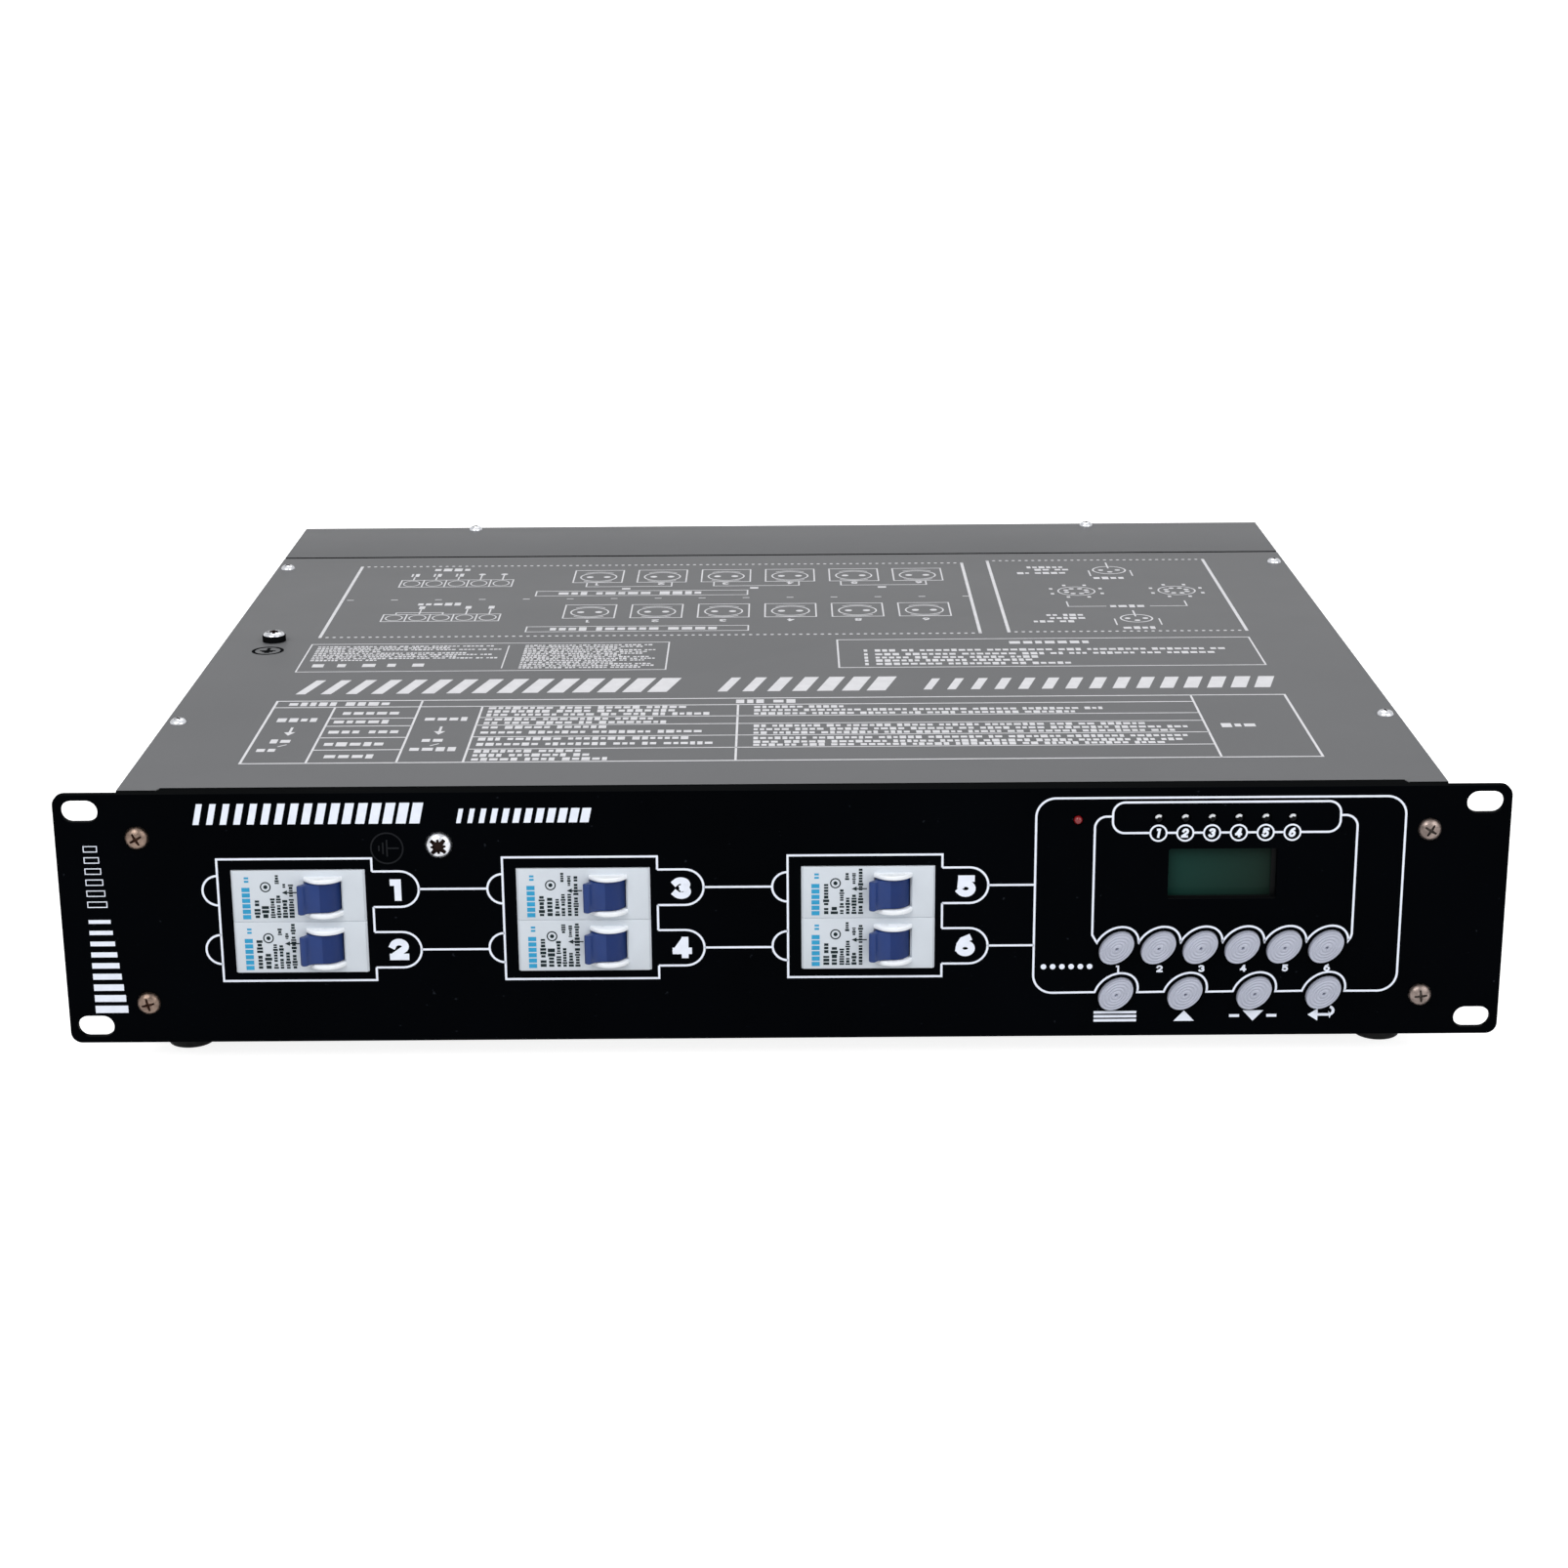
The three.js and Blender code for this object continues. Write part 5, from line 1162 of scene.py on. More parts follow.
def makeFeet():
    settings = {"topRadius": 8.25, "bottomRadius": 7.8, "holeRadius": 2.6, "holeDepth": 4.5,
                "rounding": 0.45, "screwGap": 0.1, "screwZ": (2.4, 4.6), "screwEdge": 0.3}
    names = [f"foot_{end}_{side}" for end in ("front", "rear") for side in ("left", "right")]
    low, high = boxOf(names[0])
    height = high.z - low.z
    bpy.ops.object.select_all(action="DESELECT")
    bpy.ops.mesh.primitive_cone_add(vertices=64, radius1=settings["bottomRadius"],
                                    radius2=settings["topRadius"], depth=height)
    foot = bpy.context.object
    pickFaces(foot, lambda centre, normal: normal.z < -0.9)
    bpy.ops.mesh.inset(thickness=settings["bottomRadius"] - settings["holeRadius"])
    pushFaces((0, 0, settings["holeDepth"]))
    leaveEdit()
    roundEdges(foot, settings["rounding"], 3)
    screwLow, screwHigh = (level - height / 2 for level in settings["screwZ"])
    screw = addRod(settings["holeRadius"] - settings["screwGap"], screwLow, screwHigh, 32)
    roundEdges(screw, settings["screwEdge"])
    for name in names:
        place = middleOf(name)
        finishPiece(copyOf(foot), name.replace("foot", "rubber_foot"), rubber,
                    replaces=[name], place=place)
        finishPiece(copyOf(screw), name.replace("foot", "screw_in_foot"), brightZinc, place=place)
    removeAll(foot, screw)


makeFeet()
print("feet made")


# Printing

inkSizes = {"thickness": 0.06, "lift": 0.004, "lifts": 3, "line": 0.72, "mitre": 0.35,
            "dotSides": 8}
markShares = {"wide": (0.45, 0.8), "tall": (0.72, 0.72, 1.0), "gap": 0.22, "wordGap": 0.5,
              "words": (2, 8)}


def newInk():
    return {"points": [], "faces": [], "shapes": 0}


def nextLift(ink):
    # Shapes that cross lie a few microns apart
    ink["shapes"] += 1
    return inkSizes["lift"] * (ink["shapes"] % inkSizes["lifts"])


def addFace(ink, points):
    start = len(ink["points"])
    lift = nextLift(ink)
    ink["points"] += [(x, y, lift) for x, y in points]
    ink["faces"].append(list(range(start, start + len(points))))


def addLine(ink, points, width=inkSizes["line"], closed=False):
    # A line of even width with mitred corners, which sharp turns don't lengthen without end
    line = [Vector(point) for point in points]
    count = len(line)
    start = len(ink["points"])
    lift = nextLift(ink)
    for index, point in enumerate(line):
        before = line[index - 1] if closed or index else None
        after = line[(index + 1) % count] if closed or index < count - 1 else None
        ways = []
        if before is not None:
            ways.append((point - before).normalized())
        if after is not None:
            ways.append((after - point).normalized())
        normals = [Vector((-way.y, way.x)) for way in ways]
        normal = sum(normals, Vector((0, 0))).normalized()
        reach = width / 2 / max(inkSizes["mitre"], normal.dot(normals[0]))
        for sign in (1, -1):
            spot = point + normal * reach * sign
            ink["points"].append((spot.x, spot.y, lift))
    for index in range(count if closed else count - 1):
        here, there = start + 2 * index, start + 2 * ((index + 1) % count)
        ink["faces"].append([here, here + 1, there + 1, there])


def addBar(ink, left, right, bottom, top):
    addFace(ink, [(left, bottom), (right, bottom), (right, top), (left, top)])


def addFrame(ink, left, right, bottom, top, width=0.5):
    addLine(ink, [(left, bottom), (right, bottom), (right, top), (left, top)], width, True)


def addDots(ink, left, right, y, pitch, size):
    count = int((right - left) / pitch)
    for index in range(count + 1):
        x = left + (right - left) * index / count
        addFace(ink, roundPoints(size / 2, None, inkSizes["dotSides"], x, y))


def addRamp(ink, left, bottom, height, count, pitch, first, last, lean):
    # A row of slanted bars that grow wider
    for index in range(count):
        start = left + index * pitch
        width = first + (last - first) * index / (count - 1)
        addFace(ink, [(start, bottom), (start + width, bottom),
                      (start + width + lean, bottom + height), (start + lean, bottom + height)])


def addMarks(ink, left, right, y, height, generator, upwards=False, narrow=1.0):
    # A row of small blocks in groups, in place of words. Their sizes are shares of its height
    wide, tall, words = (markShares[key] for key in ("wide", "tall", "words"))
    place = left
    while place < right - 2 * height:
        for _ in range(generator.randint(*words)):
            width = height * generator.uniform(*wide) * narrow
            reach = height * generator.choice(tall) / 2
            if place + width > right:
                break
            if upwards:
                addBar(ink, y - reach, y + reach, place, place + width)
            else:
                addBar(ink, place, place + width, y - reach, y + reach)
            place += width + markShares["gap"] * height * narrow
        place += markShares["wordGap"] * height * narrow


numberStrokes = {  # each number's lines, in half widths and half heights
    1: [[(-0.75, 1), (0.35, 1)], [(0.35, 1), (0.35, -1)]],
    2: [arc(0, 0.4, 1, 165, -32, 14, 0.6) + [(-0.42, -0.62)], [(-1, -1), (1, -1)]],
    3: [arc(-0.05, 0.5, 0.95, 150, -70, 14, 0.5), arc(0, -0.47, 1, 70, -150, 14, 0.53)],
    4: [[(0.45, 1), (0.45, -1)], [(0.2, 0.85), (-0.85, -0.35)], [(-1, -0.45), (1, -0.45)]],
    5: [[(-0.7, 1), (0.85, 1)], [(-0.7, 0.9), (-0.8, 0.15)],
        arc(-0.05, -0.33, 1.05, 125, -150, 14, 0.67)],
    6: [arc(0, -0.38, 1, 0, 360, 24, 0.62), [(-0.98, -0.4), (-0.86, 0.15), (-0.4, 0.72), (0.4, 1)]],
}


def addNumber(ink, number, x, y, height, widths, stroke, slant=0.0, turned=False):
    # The first width is that of a 1. A turned number reads from behind
    width = widths[0] if number == 1 else widths[1]
    halfX, halfY = (width - stroke) / 2, (height - stroke) / 2
    facing = -1 if turned else 1
    for shape in numberStrokes[number]:
        line = [Vector((halfX * across, halfY * up)) for across, up in shape]
        closed = (line[0] - line[-1]).length < samePoint
        if closed:
            line.pop()
        else:
            line[0] += (line[0] - line[1]).normalized() * stroke / 2
            line[-1] += (line[-1] - line[-2]).normalized() * stroke / 2
        line = [(x + facing * (point.x + slant * point.y), y + facing * point.y) for point in line]
        addLine(ink, line, stroke, closed)


def finishInk(ink, name, material, place, turn):
    # Gives the flat shapes a little thickness, partly sunk into what they are printed on
    piece = newPiece(ink["points"], [], ink["faces"])
    pickFaces(piece, lambda centre, normal: normal.z < 0)
    bpy.ops.mesh.flip_normals()
    leaveEdit()
    modify(piece, "SOLIDIFY", thickness=inkSizes["thickness"], offset=0)
    return finishPiece(piece, name, material, place=place, turn=turn, smooth=0)


def partAbove(points, floor):
    # The part of an oval above a height, from left to right
    first = next(index for index in range(len(points))
                 if points[index][1] > floor >= points[index - 1][1])
    kept = [point for point in points[first:] + points[:first] if point[1] > floor]
    return kept if kept[0][0] < kept[-1][0] else kept[::-1]


def printPairs(ink):
    # Outlines round the breaker windows, with a numbered tab for each channel
    settings = {"left": -26.8, "right": 24.7, "bottom": -22.0, "top": 21.2, "tabX": 33.8,
                "tabs": ((16.6, 4.05), (-4.85, -17.5)), "loop": 5.2, "loops": (10.2, -10.7),
                "joins": (10.3, -11.15), "joinStart": 6.3, "joinEnd": 84.0, "numberX": 32.6,
                "numbers": (10.0, -11.1), "number": (7.6, (4.9, 6.5), 2.3)}
    bottom, top = settings["bottom"], settings["top"]
    (firstHigh, firstLow), (lastHigh, lastLow) = settings["tabs"]
    for pair, x in enumerate(pairPlaces):
        left, right, tabX = (x + settings[side] for side in ("left", "right", "tabX"))
        for upper, lower in settings["tabs"]:
            middle, radius = (upper + lower) / 2, (upper - lower) / 2
            addLine(ink, [(right, upper), (tabX, upper)]
                    + arc(tabX, middle, radius, 90, -90)[1:] + [(right, lower)])
        addLine(ink, [(right, firstHigh), (right, top), (left, top), (left, bottom), (right, bottom),
                      (right, lastLow)])
        addLine(ink, [(right, firstLow), (right, lastHigh)])
        for middle in settings["loops"]:
            addLine(ink, arc(left, middle, settings["loop"], 90, 270))
        end = settings["joinEnd"]
        if pair < len(pairPlaces) - 1:
            end = pairPlaces[pair + 1] + settings["left"] - settings["loop"]
        for height in settings["joins"]:
            addLine(ink, [(tabX + settings["joinStart"], height), (end, height)])
        for row, height in enumerate(settings["numbers"]):
            addNumber(ink, 2 * pair + row + 1, x + settings["numberX"], height, *settings["number"])


def printControls(ink):
    # Two frames: the outer one runs over the lower buttons, the inner one over the upper six.
    # A frame has left, right, low and high middles of its corners, and their radius
    settings = {"ring": (8.2, 6.3, 180), "lowerFloor": -28.3, "upperFloor": -10.5,
                "outer": (90.5, 199.9, -21.8, 33.95, 6.5), "pill": (113.4, 180.8, 32.2, 34.85, 4),
                "pillFloor": 28.2, "ringGap": 2.9, "lampRing": (2.7, None, 40), "lampRingZ": 28.1,
                "lampLine": 0.6, "lampNumber": (3.2, (1.8, 2.3), 0.8, 0.18),
                "inner": (107.5, 186.5, 30, 4), "innerEnds": (109.2, 185.0),
                "innerLeft": [(103.5, -7.6), (104.8, -9.9)], "innerRight": [(190.1, -9.3), (190.5, -7.9)],
                "numberShift": 0.7, "numberZ": -19.9, "number": (2.5, (1.5, 2.1), 0.62)}
    upperRow, lowerRow = [], []
    for index, name in enumerate(buttonNames):
        place = middleOf(name)
        oval = roundPoints(*settings["ring"], place.x, place.z, tilt)
        if index < 6:
            upperRow += partAbove(oval, settings["upperFloor"])
        else:
            lowerRow += partAbove(oval, settings["lowerFloor"])
    left, right, low, high, radius = settings["outer"]
    addLine(ink, arc(left, high, radius, 180, 90) + arc(right, high, radius, 90, 0)
            + arc(right, low, radius, 0, -90) + lowerRow[::-1] + arc(left, low, radius, 270, 180),
            closed=True)
    lampX = [middleOf(name).x for name in lampNames[1:]]
    floor, gap = settings["pillFloor"], settings["ringGap"]
    left, right, low, high, radius = settings["pill"]
    addLine(ink, [(lampX[-1] + gap, floor)] + arc(right, low, radius, -90, 0)
            + arc(right, high, radius, 0, 90) + arc(left, high, radius, 90, 180)
            + arc(left, low, radius, 180, 270) + [(lampX[0] - gap, floor)])
    for before, after in zip(lampX, lampX[1:]):
        addLine(ink, [(before + gap, floor), (after - gap, floor)])
    for index, x in enumerate(lampX):
        ringZ = settings["lampRingZ"]
        addLine(ink, roundPoints(*settings["lampRing"], x, ringZ), settings["lampLine"], True)
        addNumber(ink, index + 1, x, ringZ, *settings["lampNumber"])
    left, right, high, radius = settings["inner"]
    startX, endX = settings["innerEnds"]
    addLine(ink, [(startX, high + radius)] + arc(left, high, radius, 90, 180)[1:] + settings["innerLeft"]
            + upperRow + settings["innerRight"] + arc(right, high, radius, 0, 90)
            + [(endX, high + radius)])
    for index, name in enumerate(buttonNames[:6]):
        x = middleOf(name).x + settings["numberShift"]
        addNumber(ink, index + 1, x, settings["numberZ"], *settings["number"])


def printKeys(ink):
    # Signs under the four lower buttons, and dots beside the channel row
    settings = {"bars": (-35.5, -36.95, -38.4), "bar": (7.2, 0.45),
                "up": ((-3.5, -38.8), (3.5, -38.8), (0, -35.0)),
                "down": ((-3.5, -35.1), (0, -38.9), (3.5, -35.1)), "dash": (6.3, -37.0, 1.7, 0.5),
                "back": ((-4.8, -36.8), (-1.4, -39.0), (-1.4, -34.6)), "tail": (-1.6, 2.4, -36.8),
                "bend": 1.4, "tailWidth": 0.95, "dot": (0.95, None, 20), "dots": 6,
                "firstDot": (87.4, -18.9), "dotPitch": 3.1}
    menuX, upX, downX, backX = (middleOf(name).x for name in buttonNames[6:])

    def shifted(points, x):
        return [(x + across, up) for across, up in points]

    for height in settings["bars"]:
        addBar(ink, *around(menuX, height, *settings["bar"]))
    addFace(ink, shifted(settings["up"], upX))
    addFace(ink, shifted(settings["down"], downX))
    reach, height, halfX, halfZ = settings["dash"]
    for sign in (-1, 1):
        addBar(ink, *around(downX + sign * reach, height, halfX, halfZ))
    addFace(ink, shifted(settings["back"], backX))
    start, end, height = settings["tail"]
    bend = settings["bend"]
    tail = [(start, height), (end, height)] + arc(end, height + bend, bend, -90, 80, 8)
    addLine(ink, shifted(tail, backX), settings["tailWidth"])
    x, z = settings["firstDot"]
    for index in range(settings["dots"]):
        addFace(ink, roundPoints(*settings["dot"], x + index * settings["dotPitch"], z))


def printTitles(ink):
    # Slanted and stacked bars, where the panel has a title
    settings = {"ramps": ((-195.2, 33.3, 7.2, 17, 4.48, 2.0, 3.4, 1.6),
                          (-108, 33.3, 5.0, 12, 3.72, 1.5, 2.9, 1.1)),
                "bars": 9, "barX": (-232.2, -221.2), "barZ": -33.2, "barPitch": 4.0, "barHeight": 2.6,
                "barShorter": 0.45, "barThinner": 0.16, "frames": 6, "frameX": (-232.0, -225.6),
                "frameZ": 4.6, "framePitch": 3.9, "frameHeight": 1.9, "frameShorter": 0.4,
                "frameLine": 0.3}
    for values in settings["ramps"]:
        addRamp(ink, *values)
    left, right = settings["barX"]
    for index in range(settings["bars"]):
        bottom = settings["barZ"] + index * settings["barPitch"]
        addBar(ink, left, right - settings["barShorter"] * index, bottom,
               bottom + settings["barHeight"] - settings["barThinner"] * index)
    left, right = settings["frameX"]
    for index in range(settings["frames"]):
        bottom = settings["frameZ"] + index * settings["framePitch"]
        addFrame(ink, left, right - settings["frameShorter"] * index, bottom,
                 bottom + settings["frameHeight"], settings["frameLine"])


def addEarthMark(ink, x, y, radius, width, turned=False):
    # Upright, or lying with its stem to the right. Its lines are shares of the ring's radius
    stemShare, stepShare, barShares = 0.75, 0.25, (0.55, 0.38, 0.18)

    def spot(across, up):
        if turned:
            return x + up * radius, y - across * radius
        return x + across * radius, y + up * radius

    addLine(ink, roundPoints(radius, None, 48, x, y), width, True)
    addLine(ink, [spot(0, stemShare), spot(0, 0)], width)
    for index, share in enumerate(barShares):
        level = -stepShare * index
        addLine(ink, [spot(-share, level), spot(share, level)], width)


def panelPrints():
    earthMark = {"x": -131.3, "y": 24.7, "radius": 5.3, "width": 0.5, "turned": True}
    ink = newInk()
    printPairs(ink)
    printControls(ink)
    printKeys(ink)
    printTitles(ink)
    finishInk(ink, "panel_print", whiteInk, (0, 0, 0), upright)
    mark = newInk()
    addEarthMark(mark, **earthMark)
    finishInk(mark, "panel_earth_mark", blackInk, (0, 0, 0), upright)


def breakerPrints():
    # Cyan blocks and dark rows that read from the side, and an arrow to the toggle. A row has a
    # place, a size and a top, a side row a place, a size, a bottom and a top
    settings = {"seed": 3, "blocks": 6, "blockX": (-18.9, -16.2), "blockZ": -8.0, "blockPitch": 1.92,
                "blockHeight": 1.5, "stubX": (-17.9, -16.4), "stubs": (4.9, 6.1), "stubHeight": 0.7,
                "rows": ((-14.0, 2.0, 1.4), (-11.3, 2.4, -3.0), (-8.8, 1.6, 0.2), (-6.8, 1.6, 0.3),
                         (-4.7, 1.7, -0.8), (-2.5, 1.7, 6.7)),
                "sideRows": ((-7.0, 1.4, 4.4, 7.8), (-4.7, 1.2, 3.0, 7.4)), "rowZ": -7.6,
                "narrow": 0.7, "ring": (1.6, None, 28), "ringLine": 0.42, "disc": (0.7, None, 16),
                "ringAt": (-10.9, 3.3), "arrowZ": 1.3, "arrowLine": (-0.4, -4.2, 0.4),
                "arrowHead": (-5.5, -3.8, 0.8)}
    narrow = settings["narrow"]
    cyan, dark = newInk(), newInk()
    generator = random.Random(settings["seed"])
    for number in range(1, 7):
        place = middleOf(f"breaker_{number}")
        x, z = place.x, place.z
        left, right = settings["blockX"]
        for index in range(settings["blocks"]):
            bottom = z + settings["blockZ"] + settings["blockPitch"] * index
            addBar(cyan, x + left, x + right, bottom, bottom + settings["blockHeight"])
        left, right = settings["stubX"]
        for bottom in settings["stubs"]:
            addBar(cyan, x + left, x + right, z + bottom, z + bottom + settings["stubHeight"])
        for across, size, top in settings["rows"]:
            addMarks(dark, z + settings["rowZ"], z + top + size, x + across, size, generator, True, narrow)
        ringX, ringZ = x + settings["ringAt"][0], z + settings["ringAt"][1]
        addLine(dark, roundPoints(*settings["ring"], ringX, ringZ), settings["ringLine"], True)
        addFace(dark, roundPoints(*settings["disc"], ringX, ringZ))
        for across, size, bottom, top in settings["sideRows"]:
            addMarks(dark, z + bottom, z + top, x + across, size, generator, True, narrow)
        arrowZ = z + settings["arrowZ"]
        start, end, width = settings["arrowLine"]
        addLine(dark, [(x + start, arrowZ), (x + end, arrowZ)], width)
        tip, base, half = settings["arrowHead"]
        addFace(dark, [(x + tip, arrowZ), (x + base, arrowZ - half), (x + base, arrowZ + half)])
    finishInk(cyan, "breaker_print_cyan", cyanInk, (0, breakerFront, 0), upright)
    finishInk(dark, "breaker_print_dark", darkInk, (0, breakerFront, 0), upright)


def printTerminals(ink, generator):
    # Two rows of five terminals with their leads; the near one has a bridge over the first three
    settings = {"left": -163, "pitch": 9.58, "count": 5, "bridged": 3, "line": 0.6,
                "far": (290.5, 303.3), "near": (230.3, 242), "ring": 3.4, "ringShare": 0.38,
                "ringLine": 0.5, "leads": (309, 312.5), "bars": ((-1.8, -1.0), (-0.1, 1.6)),
                "barEnds": (309.8, 315), "dot": (1.5, None, 12), "dotY": 313.5, "bridge": 245,
                "nearLead": 250.5, "tag": (1.2, 251.2, 255.8), "labelX": (-151, -131.7),
                "labels": ((322.5, 5), (259.3, 4.7))}
    pitch, line, bridged = (settings[key] for key in ("pitch", "line", "bridged"))
    centres = [settings["left"] + pitch * (index + 0.5) for index in range(settings["count"])]
    for near, far in (settings["far"], settings["near"]):
        radius = (far - near) * settings["ringShare"]
        for x in centres:
            addFrame(ink, x - pitch / 2, x + pitch / 2, near, far, line)
            ring = roundPoints(settings["ring"], radius, 24, x, (near + far) / 2)
            addLine(ink, ring, settings["ringLine"], True)
    start = settings["far"][1]
    shortLead, longLead = settings["leads"]
    for index, x in enumerate(centres):
        addLine(ink, [(x, start), (x, shortLead if index < bridged else longLead)], line)
        if index < bridged:
            for left, right in settings["bars"]:
                addBar(ink, x + left, x + right, *settings["barEnds"])
        else:
            addFace(ink, roundPoints(*settings["dot"], x, settings["dotY"]))
    start, bridge = settings["near"][1], settings["bridge"]
    first, last = centres[0], centres[bridged - 1]
    addLine(ink, [(first, start), (first, bridge), (last, bridge), (last, start)], line)
    half, low, high = settings["tag"]
    for x in (centres[1], *centres[bridged:]):
        addLine(ink, [(x, start), (x, settings["nearLead"])], line)
        addBar(ink, x - half, x + half, low, high)
    for depth, height in settings["labels"]:
        addMarks(ink, *settings["labelX"], depth, height, generator)


def printSockets(ink):
    # Two rows of six: a square with a ring, arcs above and below it, two pins and a number. A row
    # has the near and far edges of its squares, the middle of its rings and that of its numbers
    settings = {"count": 6, "first": -78.7, "pitch": 27.5, "half": 10.45, "line": 0.6,
                "ring": (7.7, None, 36), "arc": 9.4, "arcStarts": (50, 230), "arcSweep": 80,
                "arcLine": 0.5, "pin": (1.5, None, 12), "pinReach": 3.7,
                "number": (4.0, (2, 2.9), 0.85),
                "rows": ((296.7, 319.5, 306.9, 293.6), (233.8, 256.5, 243.9, 228.6)),
                "brackets": (-83, -28.7, 25.5), "bracket": (36.3, 289, 296),
                "stub": (15.5, 19, 283.7, 286.3)}
    line = settings["line"]
    for near, far, middle, numberY in settings["rows"]:
        for index in range(settings["count"]):
            x = settings["first"] + settings["pitch"] * index
            addFrame(ink, x - settings["half"], x + settings["half"], near, far, line)
            addLine(ink, roundPoints(*settings["ring"], x, middle), line, True)
            for start in settings["arcStarts"]:
                bow = arc(x, middle, settings["arc"], start, start + settings["arcSweep"], 10)
                addLine(ink, bow, settings["arcLine"])
            for sign in (-1, 1):
                addFace(ink, roundPoints(*settings["pin"], x + sign * settings["pinReach"], middle))
            addNumber(ink, index + 1, x, numberY, *settings["number"], turned=True)
    width, low, high = settings["bracket"]
    start, end, stubLow, stubHigh = settings["stub"]
    for left in settings["brackets"]:
        addLine(ink, [(left, high), (left, low), (left + width, low), (left + width, high)], line)
        addBar(ink, left + start, left + end, stubLow, stubHigh)


def printSignals(ink, generator):
    # Two signal connectors, and between them two round ones joined by a bracket. A connector has
    # its place, its radius, the ends of its stem and its side lines, and its row of blocks
    settings = {"connectors": ((142.2, 313.5, 7.0, 328, 302.6, (134, 150, 298.7, 4.5)),
                               (144, 227.3, 6.4, 240.5, 216.5, (137, 151, 211.7, 4.1))),
                "ringLine": 0.7, "pin": (1.2, None, 12), "pins": ((-3.6, 0), (3.6, 0), (0, -3.4)),
                "side": 9, "sideDrop": 0.5, "line": 0.6, "rounds": (124.3, 166.5), "middle": 275,
                "round": (7.7, None, 36), "holes": 8, "hole": (1.15, None, 10), "holeCircle": 4.6,
                "bar": (0.7, 1.2), "barCircle": 11.3, "brackets": ((118.4, 134), (167.3, 152)),
                "bracketY": (256.8, 248), "bracketMarks": (135.6, 150.4, 248, 4.4),
                "rows": ((319.7, 107), (315, 110), (308.8, 102), (233.5, 108), (228.3, 109),
                         (223, 102)), "rowEnd": 126, "rowHeight": 3.5}
    line, middle = settings["line"], settings["middle"]
    for x, y, radius, stemEnd, sideEnd, marks in settings["connectors"]:
        addLine(ink, roundPoints(radius, None, 32, x, y), settings["ringLine"], True)
        for across, up in settings["pins"]:
            addFace(ink, roundPoints(*settings["pin"], x + across, y + up))
        addLine(ink, [(x, y + radius / 2), (x, stemEnd)], settings["ringLine"])
        for sign in (-1, 1):
            sideX = x + sign * settings["side"]
            addLine(ink, [(sideX, y - settings["sideDrop"]), (sideX, sideEnd)], line)
        addMarks(ink, *marks, generator)
    for x in settings["rounds"]:
        addLine(ink, roundPoints(*settings["round"], x, middle), line, True)
        for index in range(settings["holes"]):
            angle = fullTurn * (index + 0.5) / settings["holes"]
            across, up = math.cos(angle), math.sin(angle)
            circle = settings["holeCircle"]
            addFace(ink, roundPoints(*settings["hole"], x + circle * across, middle + circle * up))
            circle = settings["barCircle"]
            addBar(ink, *around(x + circle * across, middle + circle * up, *settings["bar"]))
    high, low = settings["bracketY"]
    for outer, inner in settings["brackets"]:
        addLine(ink, [(outer, high), (outer, low), (inner, low)], line)
    addMarks(ink, *settings["bracketMarks"], generator)
    for y, left in settings["rows"]:
        addMarks(ink, left, settings["rowEnd"], y, settings["rowHeight"], generator)


def printWiring(ink):
    # The wiring diagrams in their two dotted frames, at the rear of the lid
    settings = {"seed": 5, "frames": ((-183.7, 79.2, 204.8, 329.5), (90.7, 185.5, 206.3, 333.2)),
                "frameLine": 1.3, "dots": (2.85, 1.5), "boxLine": 0.6, "insets": (9.5, 10),
                "boxes": ((-103.3, -14.2, 272.8, 281.2), (-102.5, -13.3, 211.7, 220)),
                "boxMarks": 5.4, "dashes": 15, "dashPitch": 18.4, "dash": (-181.7, 2.8, 267.1, 267.9)}
    generator = random.Random(settings["seed"])
    for left, right, bottom, top in settings["frames"]:
        for x in (left, right):
            addLine(ink, [(x, bottom), (x, top)], settings["frameLine"])
        for y in (bottom, top):
            addDots(ink, left, right, y, *settings["dots"])
    printTerminals(ink, generator)
    printSockets(ink)
    before, after = settings["insets"]
    for left, right, bottom, top in settings["boxes"]:
        addFrame(ink, left, right, bottom, top, settings["boxLine"])
        addMarks(ink, left + before, right - after, (bottom + top) / 2, settings["boxMarks"], generator)
    left, length, bottom, top = settings["dash"]
    for index in range(settings["dashes"]):
        x = left + index * settings["dashPitch"]
        addBar(ink, x, x + length, bottom, top)
    printSignals(ink, generator)


